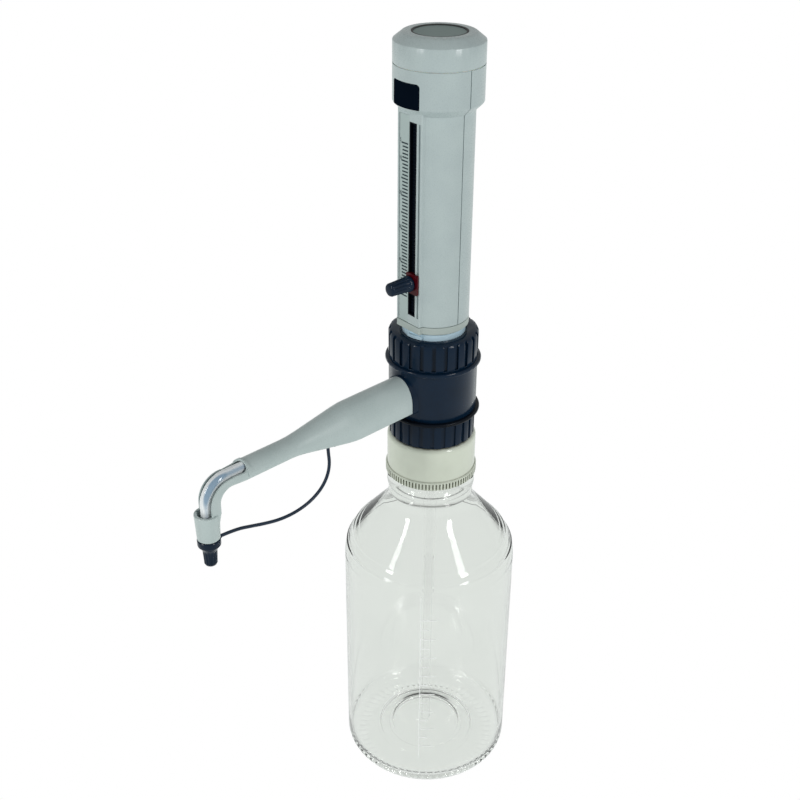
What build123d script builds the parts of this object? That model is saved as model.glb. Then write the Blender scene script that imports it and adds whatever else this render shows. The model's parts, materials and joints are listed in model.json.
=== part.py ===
"""Bottle top dispenser: a piston dispenser screwed on a GL45 laboratory bottle.

Millimetres. +Z is up, the origin is the centre of the bottle's base, and the discharge arm
and the flat scale face of the housing point to -Y. "Reach" is the distance from the axis
along -Y. Every piece is written to parts/ as one STEP file.
"""

import os
from math import cos, pi, radians, sin, tan

from build123d import *

# ---------------------------------------------------------------- driving dimensions
# bottle
BOTTLE_RADIUS = 50.5
BOTTLE_WALL = 3.0
HEEL_RADIUS = 8.3
SHOULDER_CORNER_Z = 155.2
SHOULDER_RADIUS = 25.0
NECK_RADIUS = 24.4
NECK_CORNER_Z = 185.7
NECK_FILLET = 16.0
NECK_BORE = 17.2
FINISH_ROOT = 20.7
THREAD_CREST = 22.4
THREAD_PITCH = 4.0
BEAD_RADIUS = 25.2
BEAD_Z = (196.4, 201.6)
LIP_Z = 226.0
PUNT_DEPTH = 2.4
FLOOR_THICKNESS = 3.0

# thread adapter
ADAPTER_Z = (204.8, 231.0)
ADAPTER_RADIUS = 25.1
ADAPTER_BORE = 22.8
KNURL_RADIUS = 26.0
KNURL_TOP = 210.4
KNURL_COUNT = 84
KNURL_ROOT = 24.9
KNURL_GAP = 1.0
KNURL_BAND = 0.9
SEAL_Z = (226.1, 227.2)
SPIGOT_RADIUS = 20.5
SPIGOT_TOP = 241.2

# valve block
STUB_RADIUS = 16.9
BEARING_GAP = 0.06
STUB_BOTTOM = 234.0
STUB_FLANGE = (19.8, 241.5, 243.7)
LOWER_NUT = (24.0, 231.3, 246.0)
SWIVEL_RING = (26.4, 246.4, 248.5)
COLLAR_RADIUS = 24.4
COLLAR_BORE = 21.0
COLLAR_Z = (248.5, 276.8)
COLLAR_FLANGE = (26.3, 276.8, 279.3)
COLLAR_SPIGOT = (22.3, 289.0)
UPPER_NUT = (24.6, 279.6, 295.4)
NUT_RIBS = 24
NUT_GROOVE = 2.2
BLOCK_RADIUS = 20.9
BLOCK_TOP = 284.3
CHANNEL_RADIUS = 1.8
BALL_RADIUS = 2.4
BALL_TRAVEL = 1.2
BALL_CHAMBER = 3.2
SEAT_BORE = 1.6
SEAT_LENGTH = 2.0
SEAT_CLEARANCE = 0.05
SUCTION_CHAMBER_Z = (252.0, 261.5)

# discharge arm
OUTLET_Z = 263.7
ARM_ROOT = 25.9
ARM_END = 134.5
RAMP_START = 62.0
RAMP_END = 106.0
RAMP_SOFTNESS = 0.2
ROOT_SECTION = {"half": 10.5, "bottom": 254.7, "spring": 259.8, "top": 273.6, "corner": 1.2}
THIN_SECTION = {"half": 6.3, "bottom": 259.0, "spring": 262.0, "top": 267.6, "corner": 2.4}
ARM_WALL = 1.4
THIN_WALL = 0.8
BOSS_LIP = 0.5
NOZZLE_REACH = 155.3
SLEEVE_RIM = (6.35, 247.6)
SLEEVE_FOOT = (5.75, 233.0)
SLEEVE_POCKET = (4.8, 238.0)
BEND_HALF = 5.5
INNER_BEND = 7.0
MOUTH_REACH = 132.5
MOUTH_LIP = (1.2, 0.45)
MOUTH_SCOOP = 3.0
WALL_TOP_Z = 264.2

# liquid tubes
TUBE_RADIUS = 3.0
TUBE_BORE = 1.7
TUBE_BEND = 12.0
TIP_RADIUS = 1.9
TIP_BORE = 1.0
TIP_Z = 222.0
FILL_TUBE = (4.0, 3.1)
FILL_TUBE_Z = (112.0, 238.0)
LOWER_TUBE = (3.03, 2.3)
LOWER_TUBE_Z = (8.5, 138.0)

# barrel, guide sleeve and piston
BARREL = (14.4, 13.2)
BARREL_Z = (285.3, 411.5)
SLEEVE = (15.8, 14.5)
SLEEVE_TOP = 411.0
SLEEVE_FLANGE = (20.4, 289.0, 292.3)
BLUE_RING = (17.3, 298.7)
LUG_RADIUS = 18.6
LUG_Z = (295.6, 297.4)
LUG_ANGLE = 28.0
LUG_DIRECTION = -80.0
PISTON_RADIUS = 12.9
SEAL_RADIUS = 13.15
PISTON_Z = (285.7, 300.0)
ROD_RADIUS = 4.0
ROD_Z = (292.0, 444.0)
ROD_STUD = (2.5, 449.8)

# piston housing, modelled square on and then fitted a few degrees round from the arm
HOUSING_TURN = -3.6
TUBE_OUTER = 18.8
TUBE_INNER = 16.8
FLAT_HALF = 9.2
FLAT_EDGE = 0.9
FLAT_VALLEY = 1.1
SHELL_BOTTOM = 303.7
BASE_RING_Z = (299.1, 303.3)
BUSH = (16.75, 15.86)
BUSH_TOP = 308.2
HEAD_RADIUS = 22.85
HEAD_INNER = 20.8
HEAD_CONE_Z = 415.6
HEAD_BOTTOM = 419.6
PARTING_Z = 438.0
PARTING_GAP = 0.4
SEAM_GROOVE = 0.5
SEAM_DEPTH = 0.5
CAP_SHOULDER_Z = 448.6
CAP_RIM = (18.6, 17.8, 14.5)
CAP_TOP = 452.8
RECESS_RADIUS = 13.9
DISC_RADIUS = 13.2
SLOT = {"left": 0.05, "right": 5.6, "bottom": 308.6, "top": 412.0}
CHANNEL_WALL = 0.6
CHANNEL_FLOOR = (16.15, 16.8)
TOOTH_HEIGHT = 0.3
TOOTH_PITCH = 1.82
TRACK = {"left": 7.1, "right": 8.4, "depth": 0.8}
PLATE = {"left": -7.1, "bottom": 303.95, "top": 415.0, "depth": 0.6}
WINDOW_HALF = 9.4
WINDOW_Z = (419.4, 431.9)
WINDOW_CORNERS = (0.6, 1.8)

# volume pointer
POINTER_Z = 327.6
KNOB_X = 2.83
CARRIAGE = {"left": -0.2, "right": 8.7, "height": 11.2, "front": 20.0, "back": 19.1}
KNOB = {"root": 4.3, "tip": 3.5, "start": 20.3, "end": 34.3}
STUD_RADIUS = 1.5

# nozzle cap and its tether
CAP_RING = (5.9, 228.8, 232.7)
CAP_STEM = (3.75, 3.35, 226.2, 217.0)
TETHER_DIAMETER = 1.8
TETHER_ROUTE = [
    (77.7, 255.9),
    (77.3, 248.5),
    (76.5, 241.0),
    (78.3, 233.8),
    (83.2, 227.6),
    (91.0, 223.4),
    (100.6, 221.6),
    (110.6, 222.0),
    (120.3, 224.2),
    (129.7, 227.1),
    (138.9, 229.8),
    (148.3, 230.5),
]


# ---------------------------------------------------------------- helpers
ON_FLOOR = (Align.CENTER, Align.CENTER, Align.MIN)


def save(builder, name):
    """Label a finished piece and write it as a STEP file."""
    builder.part.label = name
    os.makedirs("parts", exist_ok=True)
    export_step(builder.part, f"parts/{name}.step")


def save_turned(builder, name):
    """Save a piece of the housing, turned from its square position to where it is fitted."""
    piece = builder.part.rotate(Axis.Z, HOUSING_TURN)
    piece.label = name
    os.makedirs("parts", exist_ok=True)
    export_step(piece, f"parts/{name}.step")


def outline_face(points, plane=Plane.XZ):
    """Flat face inside a closed outline."""
    with BuildSketch(plane) as face:
        with BuildLine():
            Polyline(*points, close=True)
        make_face()
    return face.sketch


def turned(points, axis=Axis.Z, plane=Plane.XZ, mode=Mode.ADD):
    """Turn a (radius, z) outline about an axis, adding it to the part being built."""
    revolve(outline_face(points, plane), axis=axis, mode=mode)


def ring(outer, inner, bottom, top):
    """Outline of a plain ring."""
    return [(inner, bottom), (outer, bottom), (outer, top), (inner, top)]


def side_plane(reach):
    """Plane facing -Y at a reach, with local x along X and local y along Z."""
    return Plane(origin=(0, -reach, 0), x_dir=(1, 0, 0), z_dir=(0, -1, 0))


def housing_section(z, inset=0.0):
    """Cross-section of the housing: a round tube with a flat box on its -Y side."""
    radius = TUBE_OUTER - inset
    half = FLAT_HALF - inset
    valley_y = -((radius**2 - half**2) ** 0.5)
    with BuildSketch(Plane.XY.offset(z)) as section:
        Circle(radius)
        with Locations((0, -radius / 2)):
            Rectangle(2 * half, radius)
        fillet([v for v in section.vertices() if v.Y < -radius + 0.05], FLAT_EDGE)
        fillet([v for v in section.vertices() if abs(v.Y - valley_y) < 0.05], FLAT_VALLEY)
    return section.sketch


def window_face(reach, gap=0.0):
    """The head window's outline, as a face looking along -Y, its upper corners rounder."""
    with BuildSketch(side_plane(reach)) as face:
        with Locations((0, (WINDOW_Z[0] + WINDOW_Z[1]) / 2)):
            Rectangle(2 * WINDOW_HALF - gap, WINDOW_Z[1] - WINDOW_Z[0] - gap)
        fillet(face.vertices().group_by(Axis.Y)[0], WINDOW_CORNERS[0])
        fillet(face.vertices().group_by(Axis.Y)[-1], WINDOW_CORNERS[1])
    return face.sketch


# ---------------------------------------------------------------- bottle
def bottle_profile(inset, base):
    """Half outline of the bottle's wall, outside (inset 0) or inside, closed on the axis."""
    corners = [
        (0, base),
        (BOTTLE_RADIUS - inset, base),
        (BOTTLE_RADIUS - inset, SHOULDER_CORNER_Z - 0.37 * inset),
        (NECK_RADIUS - inset, NECK_CORNER_Z - 0.37 * inset),
    ]
    radii = [HEEL_RADIUS - inset, SHOULDER_RADIUS - inset, NECK_FILLET + inset]
    return corners, radii


with BuildPart() as glass_bottle:
    with BuildSketch(Plane.XZ):
        with BuildLine():
            corners, radii = bottle_profile(0, 0)
            outer_top = (NECK_RADIUS, BEAD_Z[0])
            wall = FilletPolyline(*corners, outer_top, radius=radii)
            Polyline(wall @ 1, (0, BEAD_Z[0]), (0, 0))
        make_face()
    revolve(axis=Axis.Z)
    bead_bottom, bead_top = BEAD_Z
    turned([
        (0, bead_bottom - 0.5),
        (NECK_RADIUS - 0.2, bead_bottom - 0.5),
        (BEAD_RADIUS - 0.3, bead_bottom + 0.6),
        (BEAD_RADIUS, bead_bottom + 1.8),
        (BEAD_RADIUS, bead_top - 1.8),
        (BEAD_RADIUS - 0.6, bead_top - 0.7),
        (BEAD_RADIUS - 2.2, bead_top),
        (0, bead_top),
    ])
    turned(ring(FINISH_ROOT, 0, BEAD_Z[1], LIP_Z))
    for turn in range(3):
        crest_z = BEAD_Z[1] + 7.0 + turn * THREAD_PITCH
        turned([
            (FINISH_ROOT - 1, crest_z - 1.6),
            (THREAD_CREST, crest_z - 0.5),
            (THREAD_CREST, crest_z + 0.5),
            (FINISH_ROOT - 1, crest_z + 1.6),
        ])
    # the inside: body, shoulder and a straight bore through the finish
    with BuildSketch(Plane.XZ, mode=Mode.PRIVATE) as cavity:
        with BuildLine():
            floor = PUNT_DEPTH + FLOOR_THICKNESS
            corners, radii = bottle_profile(BOTTLE_WALL, floor)
            neck_top = (NECK_RADIUS - BOTTLE_WALL, BEAD_Z[0] - 2)
            wall = FilletPolyline(*corners, neck_top, radius=radii)
            Polyline(
                wall @ 1, (NECK_BORE, BEAD_Z[1]), (NECK_BORE, LIP_Z + 1), (0, LIP_Z + 1), (0, floor)
            )
        make_face()
    revolve(cavity.sketch, axis=Axis.Z, mode=Mode.SUBTRACT)
    # the punt, with the two ring steps that the mould's centre leaves
    punt = [
        (0, -1), (36.5, -1), (36.5, 0), (33.0, 0.9), (30.5, 1.3),
        (30.5, 1.8), (24.0, 2.0), (24.0, PUNT_DEPTH), (0, PUNT_DEPTH),
    ]
    turned(punt, mode=Mode.SUBTRACT)
    # raised ring steps on the inside of the floor
    for radius, height in ((30.5, 0.6), (24.0, 1.1)):
        top = floor + height
        turned([(0, floor - 0.2), (radius, floor - 0.2), (radius - 0.8, top), (0, top)])
save(glass_bottle, "glass_bottle")


# ---------------------------------------------------------------- thread adapter
with BuildPart() as thread_adapter:
    bottom, top = ADAPTER_Z
    plate_bottom = SEAL_Z[1]
    bearing = STUB_RADIUS + BEARING_GAP
    turned([
        (ADAPTER_BORE, bottom),
        (KNURL_RADIUS - 1.2, bottom),
        (KNURL_RADIUS, bottom + 1.0),
        (KNURL_RADIUS, KNURL_TOP - 0.6),
        (KNURL_RADIUS - 0.6, KNURL_TOP),
        (ADAPTER_RADIUS, KNURL_TOP),
        (ADAPTER_RADIUS, top),
        (SPIGOT_RADIUS, top),
        (SPIGOT_RADIUS, SPIGOT_TOP),
        (bearing, SPIGOT_TOP),
        (bearing, plate_bottom),
        (ADAPTER_BORE, plate_bottom),
    ])
    rim = thread_adapter.edges().filter_by(GeomType.CIRCLE).filter_by(
        lambda e: abs(e.radius - ADAPTER_RADIUS) < 0.01 and abs(e.center().Z - top) < 0.01)
    fillet(rim, 2.4)
    gap_top = KNURL_TOP - KNURL_BAND
    with PolarLocations(KNURL_ROOT, KNURL_COUNT):
        with Locations((1, 0, (bottom - 1 + gap_top) / 2)):
            Box(2, KNURL_GAP, gap_top + 1 - bottom, mode=Mode.SUBTRACT)
save(thread_adapter, "thread_adapter")

with BuildPart() as bottle_seal:
    turned(ring(21.4, 15.4, SEAL_Z[0] + 0.05, SEAL_Z[1]))
save(bottle_seal, "bottle_seal")


def ribbed_nut(outline, rib_radius, bottom, top, groove_depth):
    """A union nut turned from an outline, with straight grip ribs between its grooves."""
    turned(outline)
    with PolarLocations(rib_radius, NUT_RIBS):
        with Locations((0, 0, (bottom + top) / 2)):
            Box(2 * groove_depth, NUT_GROOVE, top - bottom, mode=Mode.SUBTRACT)


with BuildPart() as lower_union_nut:
    radius, bottom, top = LOWER_NUT
    ribbed_nut(
        [
            (SPIGOT_RADIUS + 0.1, bottom),
            (radius - 0.8, bottom),
            (radius, bottom + 0.8),
            (radius, top),
            (STUB_RADIUS + 0.4, top),
            (STUB_RADIUS + 0.4, top - 2.0),
            (SPIGOT_RADIUS + 0.1, top - 2.0),
        ],
        radius, bottom - 1, top + 1, 1.0,
    )
save(lower_union_nut, "lower_union_nut")


# ---------------------------------------------------------------- valve block
with BuildPart() as swivel_ring:
    radius, bottom, top = SWIVEL_RING
    turned(ring(radius, STUB_RADIUS + 0.2, bottom, top))
    fillet(swivel_ring.edges().filter_by(GeomType.CIRCLE).sort_by(SortBy.RADIUS)[-2:], 0.9)
save(swivel_ring, "swivel_ring")


def arch(reach, half, bottom, spring, top, corner):
    """Tombstone section at a reach: flat bottom with rounded corners under a half ellipse."""
    with BuildSketch(side_plane(reach)) as section:
        with BuildLine():
            Line((-half + corner, bottom), (half - corner, bottom))
            CenterArc((half - corner, bottom + corner), corner, 270, 90)
            Line((half, bottom + corner), (half, spring))
            EllipticalCenterArc((0, spring), half, top - spring, start_angle=0, arc_size=180)
            Line((-half, spring), (-half, bottom + corner))
            CenterArc((-half + corner, bottom + corner), corner, 180, 90)
        make_face()
    return section.sketch


def grown(section, amount):
    """The same section with its walls moved outwards by an amount."""
    return {
        "half": section["half"] + amount,
        "bottom": section["bottom"] - amount,
        "spring": section["spring"],
        "top": section["top"] + amount,
        "corner": max(0.4, section["corner"] + amount),
    }


with BuildPart() as collar_shell:
    flange_radius, flange_bottom, flange_top = COLLAR_FLANGE
    spigot_radius, spigot_top = COLLAR_SPIGOT
    turned([
        (COLLAR_BORE, COLLAR_Z[0]),
        (COLLAR_RADIUS, COLLAR_Z[0]),
        (COLLAR_RADIUS, flange_bottom),
        (flange_radius - 0.9, flange_bottom),
        (flange_radius - 0.3, flange_bottom + 0.25),
        (flange_radius, flange_bottom + 0.8),
        (flange_radius, flange_top - 0.8),
        (flange_radius - 0.3, flange_top - 0.25),
        (flange_radius - 0.9, flange_top),
        (spigot_radius, flange_top),
        (spigot_radius, spigot_top),
        (COLLAR_BORE, spigot_top),
    ])
    # the socket that the arm plugs on to, and the spigot that enters it
    extrude(arch(12, **grown(ROOT_SECTION, BOSS_LIP)), amount=ARM_ROOT - 0.1 - 12)
    extrude(arch(ARM_ROOT - 1, **grown(ROOT_SECTION, -ARM_WALL - 0.15)), amount=5.7)
    with BuildSketch(side_plane(10)):
        with Locations((0, OUTLET_Z)):
            Circle(5.1)
    extrude(amount=30, mode=Mode.SUBTRACT)
    turned(ring(COLLAR_BORE, 0, COLLAR_Z[0] - 1, spigot_top + 1), mode=Mode.SUBTRACT)
save(collar_shell, "collar_shell")

SIDE_CHANNEL_REACH = 9.0
SEAT_REACH = 12.0
OUTLET_COUNTERBORE = 18.0

with BuildPart() as valve_body:
    flange_radius, flange_bottom, flange_top = STUB_FLANGE
    turned([
        (0, STUB_BOTTOM),
        (STUB_RADIUS, STUB_BOTTOM),
        (STUB_RADIUS, flange_bottom),
        (flange_radius, flange_bottom),
        (flange_radius, flange_top),
        (STUB_RADIUS, flange_top),
        (STUB_RADIUS, COLLAR_Z[0]),
        (BLOCK_RADIUS, COLLAR_Z[0]),
        (BLOCK_RADIUS, BLOCK_TOP),
        (0, BLOCK_TOP),
    ])
    for radius, bottom, top in (
        (FILL_TUBE[0], STUB_BOTTOM - 1, FILL_TUBE_Z[1]),
        (CHANNEL_RADIUS, STUB_BOTTOM, BLOCK_TOP + 1),
        (BALL_CHAMBER, *SUCTION_CHAMBER_Z),
    ):
        with Locations((0, 0, bottom)):
            Cylinder(radius, top - bottom, mode=Mode.SUBTRACT,
                     align=ON_FLOOR)
    # the side channel leads from the barrel's floor down to the outlet
    with Locations((0, -SIDE_CHANNEL_REACH, OUTLET_Z)):
        Cylinder(CHANNEL_RADIUS, BLOCK_TOP - OUTLET_Z + 1, mode=Mode.SUBTRACT,
                 align=ON_FLOOR)
    for radius, start, end in (
        (CHANNEL_RADIUS, SIDE_CHANNEL_REACH, SEAT_REACH),
        (BALL_CHAMBER, SEAT_REACH - SEAT_LENGTH, OUTLET_COUNTERBORE),
        (5.0, OUTLET_COUNTERBORE, BLOCK_RADIUS + 1),
    ):
        with BuildSketch(side_plane(start)):
            with Locations((0, OUTLET_Z)):
                Circle(radius)
        extrude(amount=end - start, mode=Mode.SUBTRACT)
save(valve_body, "valve_body")

with BuildPart() as suction_seat:
    seat_top = SUCTION_CHAMBER_Z[0] + SEAT_LENGTH
    turned(ring(BALL_CHAMBER, SEAT_BORE, SUCTION_CHAMBER_Z[0], seat_top))
save(suction_seat, "suction_seat")

ball_rise = (BALL_RADIUS**2 - SEAT_BORE**2) ** 0.5 + SEAT_CLEARANCE

with BuildPart() as suction_ball:
    with Locations((0, 0, seat_top + ball_rise)):
        Sphere(BALL_RADIUS)
save(suction_ball, "suction_ball")

with BuildPart() as discharge_seat:
    with BuildSketch(side_plane(SEAT_REACH - SEAT_LENGTH)):
        with Locations((0, OUTLET_Z)):
            Circle(BALL_CHAMBER)
            Circle(SEAT_BORE, mode=Mode.SUBTRACT)
    extrude(amount=SEAT_LENGTH)
save(discharge_seat, "discharge_seat")

with BuildPart() as discharge_ball:
    with Locations((0, -SEAT_REACH - ball_rise, OUTLET_Z)):
        Sphere(BALL_RADIUS)
save(discharge_ball, "discharge_ball")

UNION_END = 34.0
TUBE_START = 24.0

with BuildPart() as outlet_union:
    with BuildSketch(side_plane(OUTLET_COUNTERBORE)):
        with Locations((0, OUTLET_Z)):
            Circle(5.0)
    extrude(amount=ARM_ROOT + 4.9 - OUTLET_COUNTERBORE)
    with BuildSketch(side_plane(ARM_ROOT + 4.9)):
        with Locations((0, OUTLET_Z)):
            RegularPolygon(radius=5.6, side_count=6)
    extrude(amount=UNION_END - ARM_ROOT - 4.9)
    with BuildSketch(side_plane(OUTLET_COUNTERBORE)):
        with Locations((0, OUTLET_Z)):
            Circle(TUBE_BORE)
    extrude(amount=UNION_END, mode=Mode.SUBTRACT)
    with BuildSketch(side_plane(TUBE_START)):
        with Locations((0, OUTLET_Z)):
            Circle(TUBE_RADIUS)
    extrude(amount=UNION_END, mode=Mode.SUBTRACT)
save(outlet_union, "outlet_union")


# ---------------------------------------------------------------- discharge tube
nozzle_axis = Axis((0, -NOZZLE_REACH, 0), (0, 0, 1))

with BuildPart() as discharge_tube:
    bend_reach = NOZZLE_REACH - TUBE_BEND
    bend_z = OUTLET_Z - TUBE_BEND
    taper_top = SLEEVE_FOOT[1] - 0.5
    taper_bottom = taper_top - 3.0
    with BuildLine() as tube_path:
        Line((0, -TUBE_START, OUTLET_Z), (0, -bend_reach, OUTLET_Z))
        mid = (0, -bend_reach - TUBE_BEND * sin(pi / 4), bend_z + TUBE_BEND * cos(pi / 4))
        ThreePointArc((0, -bend_reach, OUTLET_Z), mid, (0, -NOZZLE_REACH, bend_z))
        Line((0, -NOZZLE_REACH, bend_z), (0, -NOZZLE_REACH, taper_top))
    with BuildSketch(side_plane(TUBE_START)):
        with Locations((0, OUTLET_Z)):
            Circle(TUBE_RADIUS)
            Circle(TUBE_BORE, mode=Mode.SUBTRACT)
    sweep(path=tube_path.wire())
    # the tip narrows under the sleeve
    tip_outline = [
        (TUBE_BORE, taper_top),
        (TUBE_RADIUS, taper_top),
        (TIP_RADIUS, taper_bottom),
        (TIP_RADIUS, TIP_Z),
        (TIP_BORE, TIP_Z),
        (TIP_BORE, taper_bottom),
    ]
    turned(tip_outline, nozzle_axis, side_plane(NOZZLE_REACH))
save(discharge_tube, "discharge_tube")


# ---------------------------------------------------------------- arm cover
RAMP_STATIONS = [62, 66, 71, 78, 84, 90, 97, 102, 106]
BEND_CENTRE_REACH = NOZZLE_REACH - 6.1 - INNER_BEND
BEND_CENTRE_Z = THIN_SECTION["bottom"] - INNER_BEND
TETHER_RIB = (75.4, 80.2, 256.8, 260.3)


def soft_ramp(t):
    """0 to 1 along a straight ramp whose two corners are rounded."""
    s = RAMP_SOFTNESS
    if t <= 0:
        return 0.0
    if t >= 1:
        return 1.0
    if t < s:
        return t * t / (2 * s * (1 - s))
    if t > 1 - s:
        return 1 - (1 - t) ** 2 / (2 * s * (1 - s))
    return (t - s / 2) / (1 - s)


def arm_section(reach, hollow=False):
    """The cover's section at a reach, outside or (hollow) inside its wall."""
    share = soft_ramp((reach - RAMP_START) / (RAMP_END - RAMP_START))
    section = {}
    for key, root_value in ROOT_SECTION.items():
        section[key] = root_value + share * (THIN_SECTION[key] - root_value)
    narrowing = max(0.0, (reach - ARM_END) / (BEND_CENTRE_REACH - ARM_END))
    section["half"] -= narrowing * (THIN_SECTION["half"] - BEND_HALF)
    if hollow:
        section = grown(section, -ARM_WALL - share * (THIN_WALL - ARM_WALL))
    return section


def arm_loft(stations, hollow=False, floor_drop=0.0, mode=Mode.ADD):
    """A loft through the cover's sections, with its floor lowered by an amount."""
    sections = []
    for reach in stations:
        size = arm_section(reach, hollow)
        size["bottom"] -= floor_drop
        sections.append(arch(reach, **size))
    loft(sections, ruled=True, mode=mode)


def bend_side(inset, end_z):
    """Side outline of the cover round the bend, in the plane of the arm, as (-reach, z)."""
    floor_z = THIN_SECTION["bottom"] + inset
    radius = INNER_BEND + inset
    inner_reach = BEND_CENTRE_REACH + radius
    outer = NOZZLE_REACH + 3
    arc_mid = (
        -BEND_CENTRE_REACH - radius * sin(pi / 4),
        BEND_CENTRE_Z + radius * cos(pi / 4),
    )
    start = -BEND_CENTRE_REACH + 0.5
    with BuildSketch(Plane.YZ) as side:
        with BuildLine():
            Line((start, floor_z), (-BEND_CENTRE_REACH, floor_z))
            ThreePointArc(
                (-BEND_CENTRE_REACH, floor_z), arc_mid, (-inner_reach, BEND_CENTRE_Z)
            )
            Polyline(
                (-inner_reach, BEND_CENTRE_Z),
                (-inner_reach, end_z),
                (-outer, end_z),
                (-outer, THIN_SECTION["spring"] + 7),
                (start, THIN_SECTION["spring"] + 7),
                (start, floor_z),
            )
        make_face()
    return side.sketch


def shoulder_section(z, half, depth, corner):
    """Half of the sleeve's section on the side of the bottle, with two rounded corners."""
    with BuildSketch(Plane.XY.offset(z)) as section:
        with Locations((0, -NOZZLE_REACH + depth / 2)):
            Rectangle(2 * half, depth)
        fillet(section.vertices().group_by(Axis.Y)[-1], corner)
    return section.sketch


with BuildPart() as arm_bend:
    bend_half = BEND_HALF - 0.02
    leg_end = SLEEVE_RIM[1] - 0.6
    extrude(bend_side(0, leg_end), amount=bend_half, both=True)
    inner_edges = arm_bend.edges().filter_by(
        lambda e: abs(abs(e.center().X) - bend_half) < 0.01
        and e.center().Y > -NOZZLE_REACH
        and leg_end + 0.1 < e.center().Z < THIN_SECTION["bottom"] + 0.1
    )
    fillet(inner_edges, THIN_SECTION["corner"])

with BuildPart() as arm_cover:
    arm_loft([ARM_ROOT, 44, *RAMP_STATIONS, 120, ARM_END, BEND_CENTRE_REACH])
    add(arm_bend.part)
    # raised lip round the upper half of the mouth that the tube comes out of
    lip_length, lip_height = MOUTH_LIP
    lip = grown(THIN_SECTION, lip_height)
    lip.update(bottom=THIN_SECTION["spring"] - 0.4, corner=0.3)
    extrude(arch(MOUTH_REACH - lip_length, **lip), amount=lip_length + 1)
    # the round sleeve at the nozzle, and the shoulders that lead the bend into it
    rim_radius, rim_z = SLEEVE_RIM
    foot_radius, foot_z = SLEEVE_FOOT
    sleeve_outline = [
        (0, foot_z), (foot_radius - 0.3, foot_z), (foot_radius, foot_z + 0.3),
        (rim_radius, rim_z - 0.3), (rim_radius - 0.3, rim_z), (0, rim_z),
    ]
    turned(sleeve_outline, nozzle_axis, side_plane(NOZZLE_REACH))
    loft([
        shoulder_section(leg_end + 0.5, bend_half, 6.1, THIN_SECTION["corner"]),
        shoulder_section(leg_end - 7, bend_half, 5.9, bend_half - 0.1),
    ], ruled=True)
    # hollow: open underneath along the root, closed along the thin part
    open_stations = [ARM_ROOT - 1, 44, *RAMP_STATIONS]
    arm_loft(open_stations, hollow=True, floor_drop=3.8, mode=Mode.SUBTRACT)
    arm_loft([104, 106, 120, ARM_END, BEND_CENTRE_REACH], hollow=True, mode=Mode.SUBTRACT)
    pocket_radius, pocket_z = SLEEVE_POCKET
    extrude(
        bend_side(THIN_WALL, leg_end), amount=BEND_HALF - THIN_WALL, both=True, mode=Mode.SUBTRACT
    )
    with Locations((0, -NOZZLE_REACH, pocket_z)):
        Cylinder(pocket_radius, WALL_TOP_Z - pocket_z, mode=Mode.SUBTRACT, align=ON_FLOOR)
    # the outer side of the bend is cut away, from the mouth to the sleeve's rim, down to the
    # middle of the tube, with a scoop at the foot of the mouth
    with BuildSketch(Plane.YZ):
        with BuildLine():
            scoop_end = -MOUTH_REACH - MOUTH_SCOOP
            scoop_top = WALL_TOP_Z + MOUTH_SCOOP
            scoop_middle = (
                scoop_end + MOUTH_SCOOP * cos(pi / 4),
                scoop_top - MOUTH_SCOOP * sin(pi / 4),
            )
            wall_bend = WALL_TOP_Z - OUTLET_Z + TUBE_BEND
            bend_y = TUBE_BEND - NOZZLE_REACH
            bend_middle = (
                bend_y - wall_bend * sin(pi / 4),
                OUTLET_Z - TUBE_BEND + wall_bend * cos(pi / 4),
            )
            wall_y = bend_y - wall_bend
            sky = THIN_SECTION["top"] + 3
            Line((-MOUTH_REACH, sky), (-MOUTH_REACH, scoop_top))
            ThreePointArc((-MOUTH_REACH, scoop_top), scoop_middle, (scoop_end, WALL_TOP_Z))
            Line((scoop_end, WALL_TOP_Z), (bend_y, WALL_TOP_Z))
            ThreePointArc(
                (bend_y, WALL_TOP_Z), bend_middle, (wall_y, OUTLET_Z - TUBE_BEND)
            )
            Polyline(
                (wall_y, OUTLET_Z - TUBE_BEND),
                (wall_y, rim_z),
                (-NOZZLE_REACH - 15, rim_z),
                (-NOZZLE_REACH - 15, sky),
                (-MOUTH_REACH, sky),
            )
        make_face()
    extrude(amount=8, both=True, mode=Mode.SUBTRACT)
    # rib that holds the tether's anchor, and the bore that guides the discharge tube
    start, end, rib_bottom, rib_top = TETHER_RIB
    with Locations((0, -(start + end) / 2, (rib_bottom + rib_top) / 2)):
        Box(17.4, end - start, rib_top - rib_bottom)
    anchor_reach = TETHER_ROUTE[0][0]
    with Locations((0, -anchor_reach, rib_bottom - 1)):
        Cylinder(1.7, 6, mode=Mode.SUBTRACT, align=ON_FLOOR)
    with Locations((0, -NOZZLE_REACH, foot_z - 1)):
        Cylinder(TUBE_RADIUS + 0.1, 8, mode=Mode.SUBTRACT, align=ON_FLOOR)
save(arm_cover, "arm_cover")

with BuildPart() as tether_anchor:
    anchor_foot = TETHER_ROUTE[0][1] + 0.1
    with Locations((0, -anchor_reach, anchor_foot)):
        Cylinder(1.7, TETHER_RIB[3] - anchor_foot, align=ON_FLOOR)
save(tether_anchor, "tether_anchor")


# ---------------------------------------------------------------- tether
def cord_radii(points):
    """Largest tangent arc that each corner's two runs allow, at 0.45 of the shorter run."""
    found = []
    for before, here, after in zip(points, points[1:], points[2:]):
        arriving, leaving = here - before, after - here
        half_turn = radians(arriving.get_angle(leaving)) / 2
        found.append(0.45 * min(arriving.length, leaving.length) / tan(half_turn))
    return found


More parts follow.
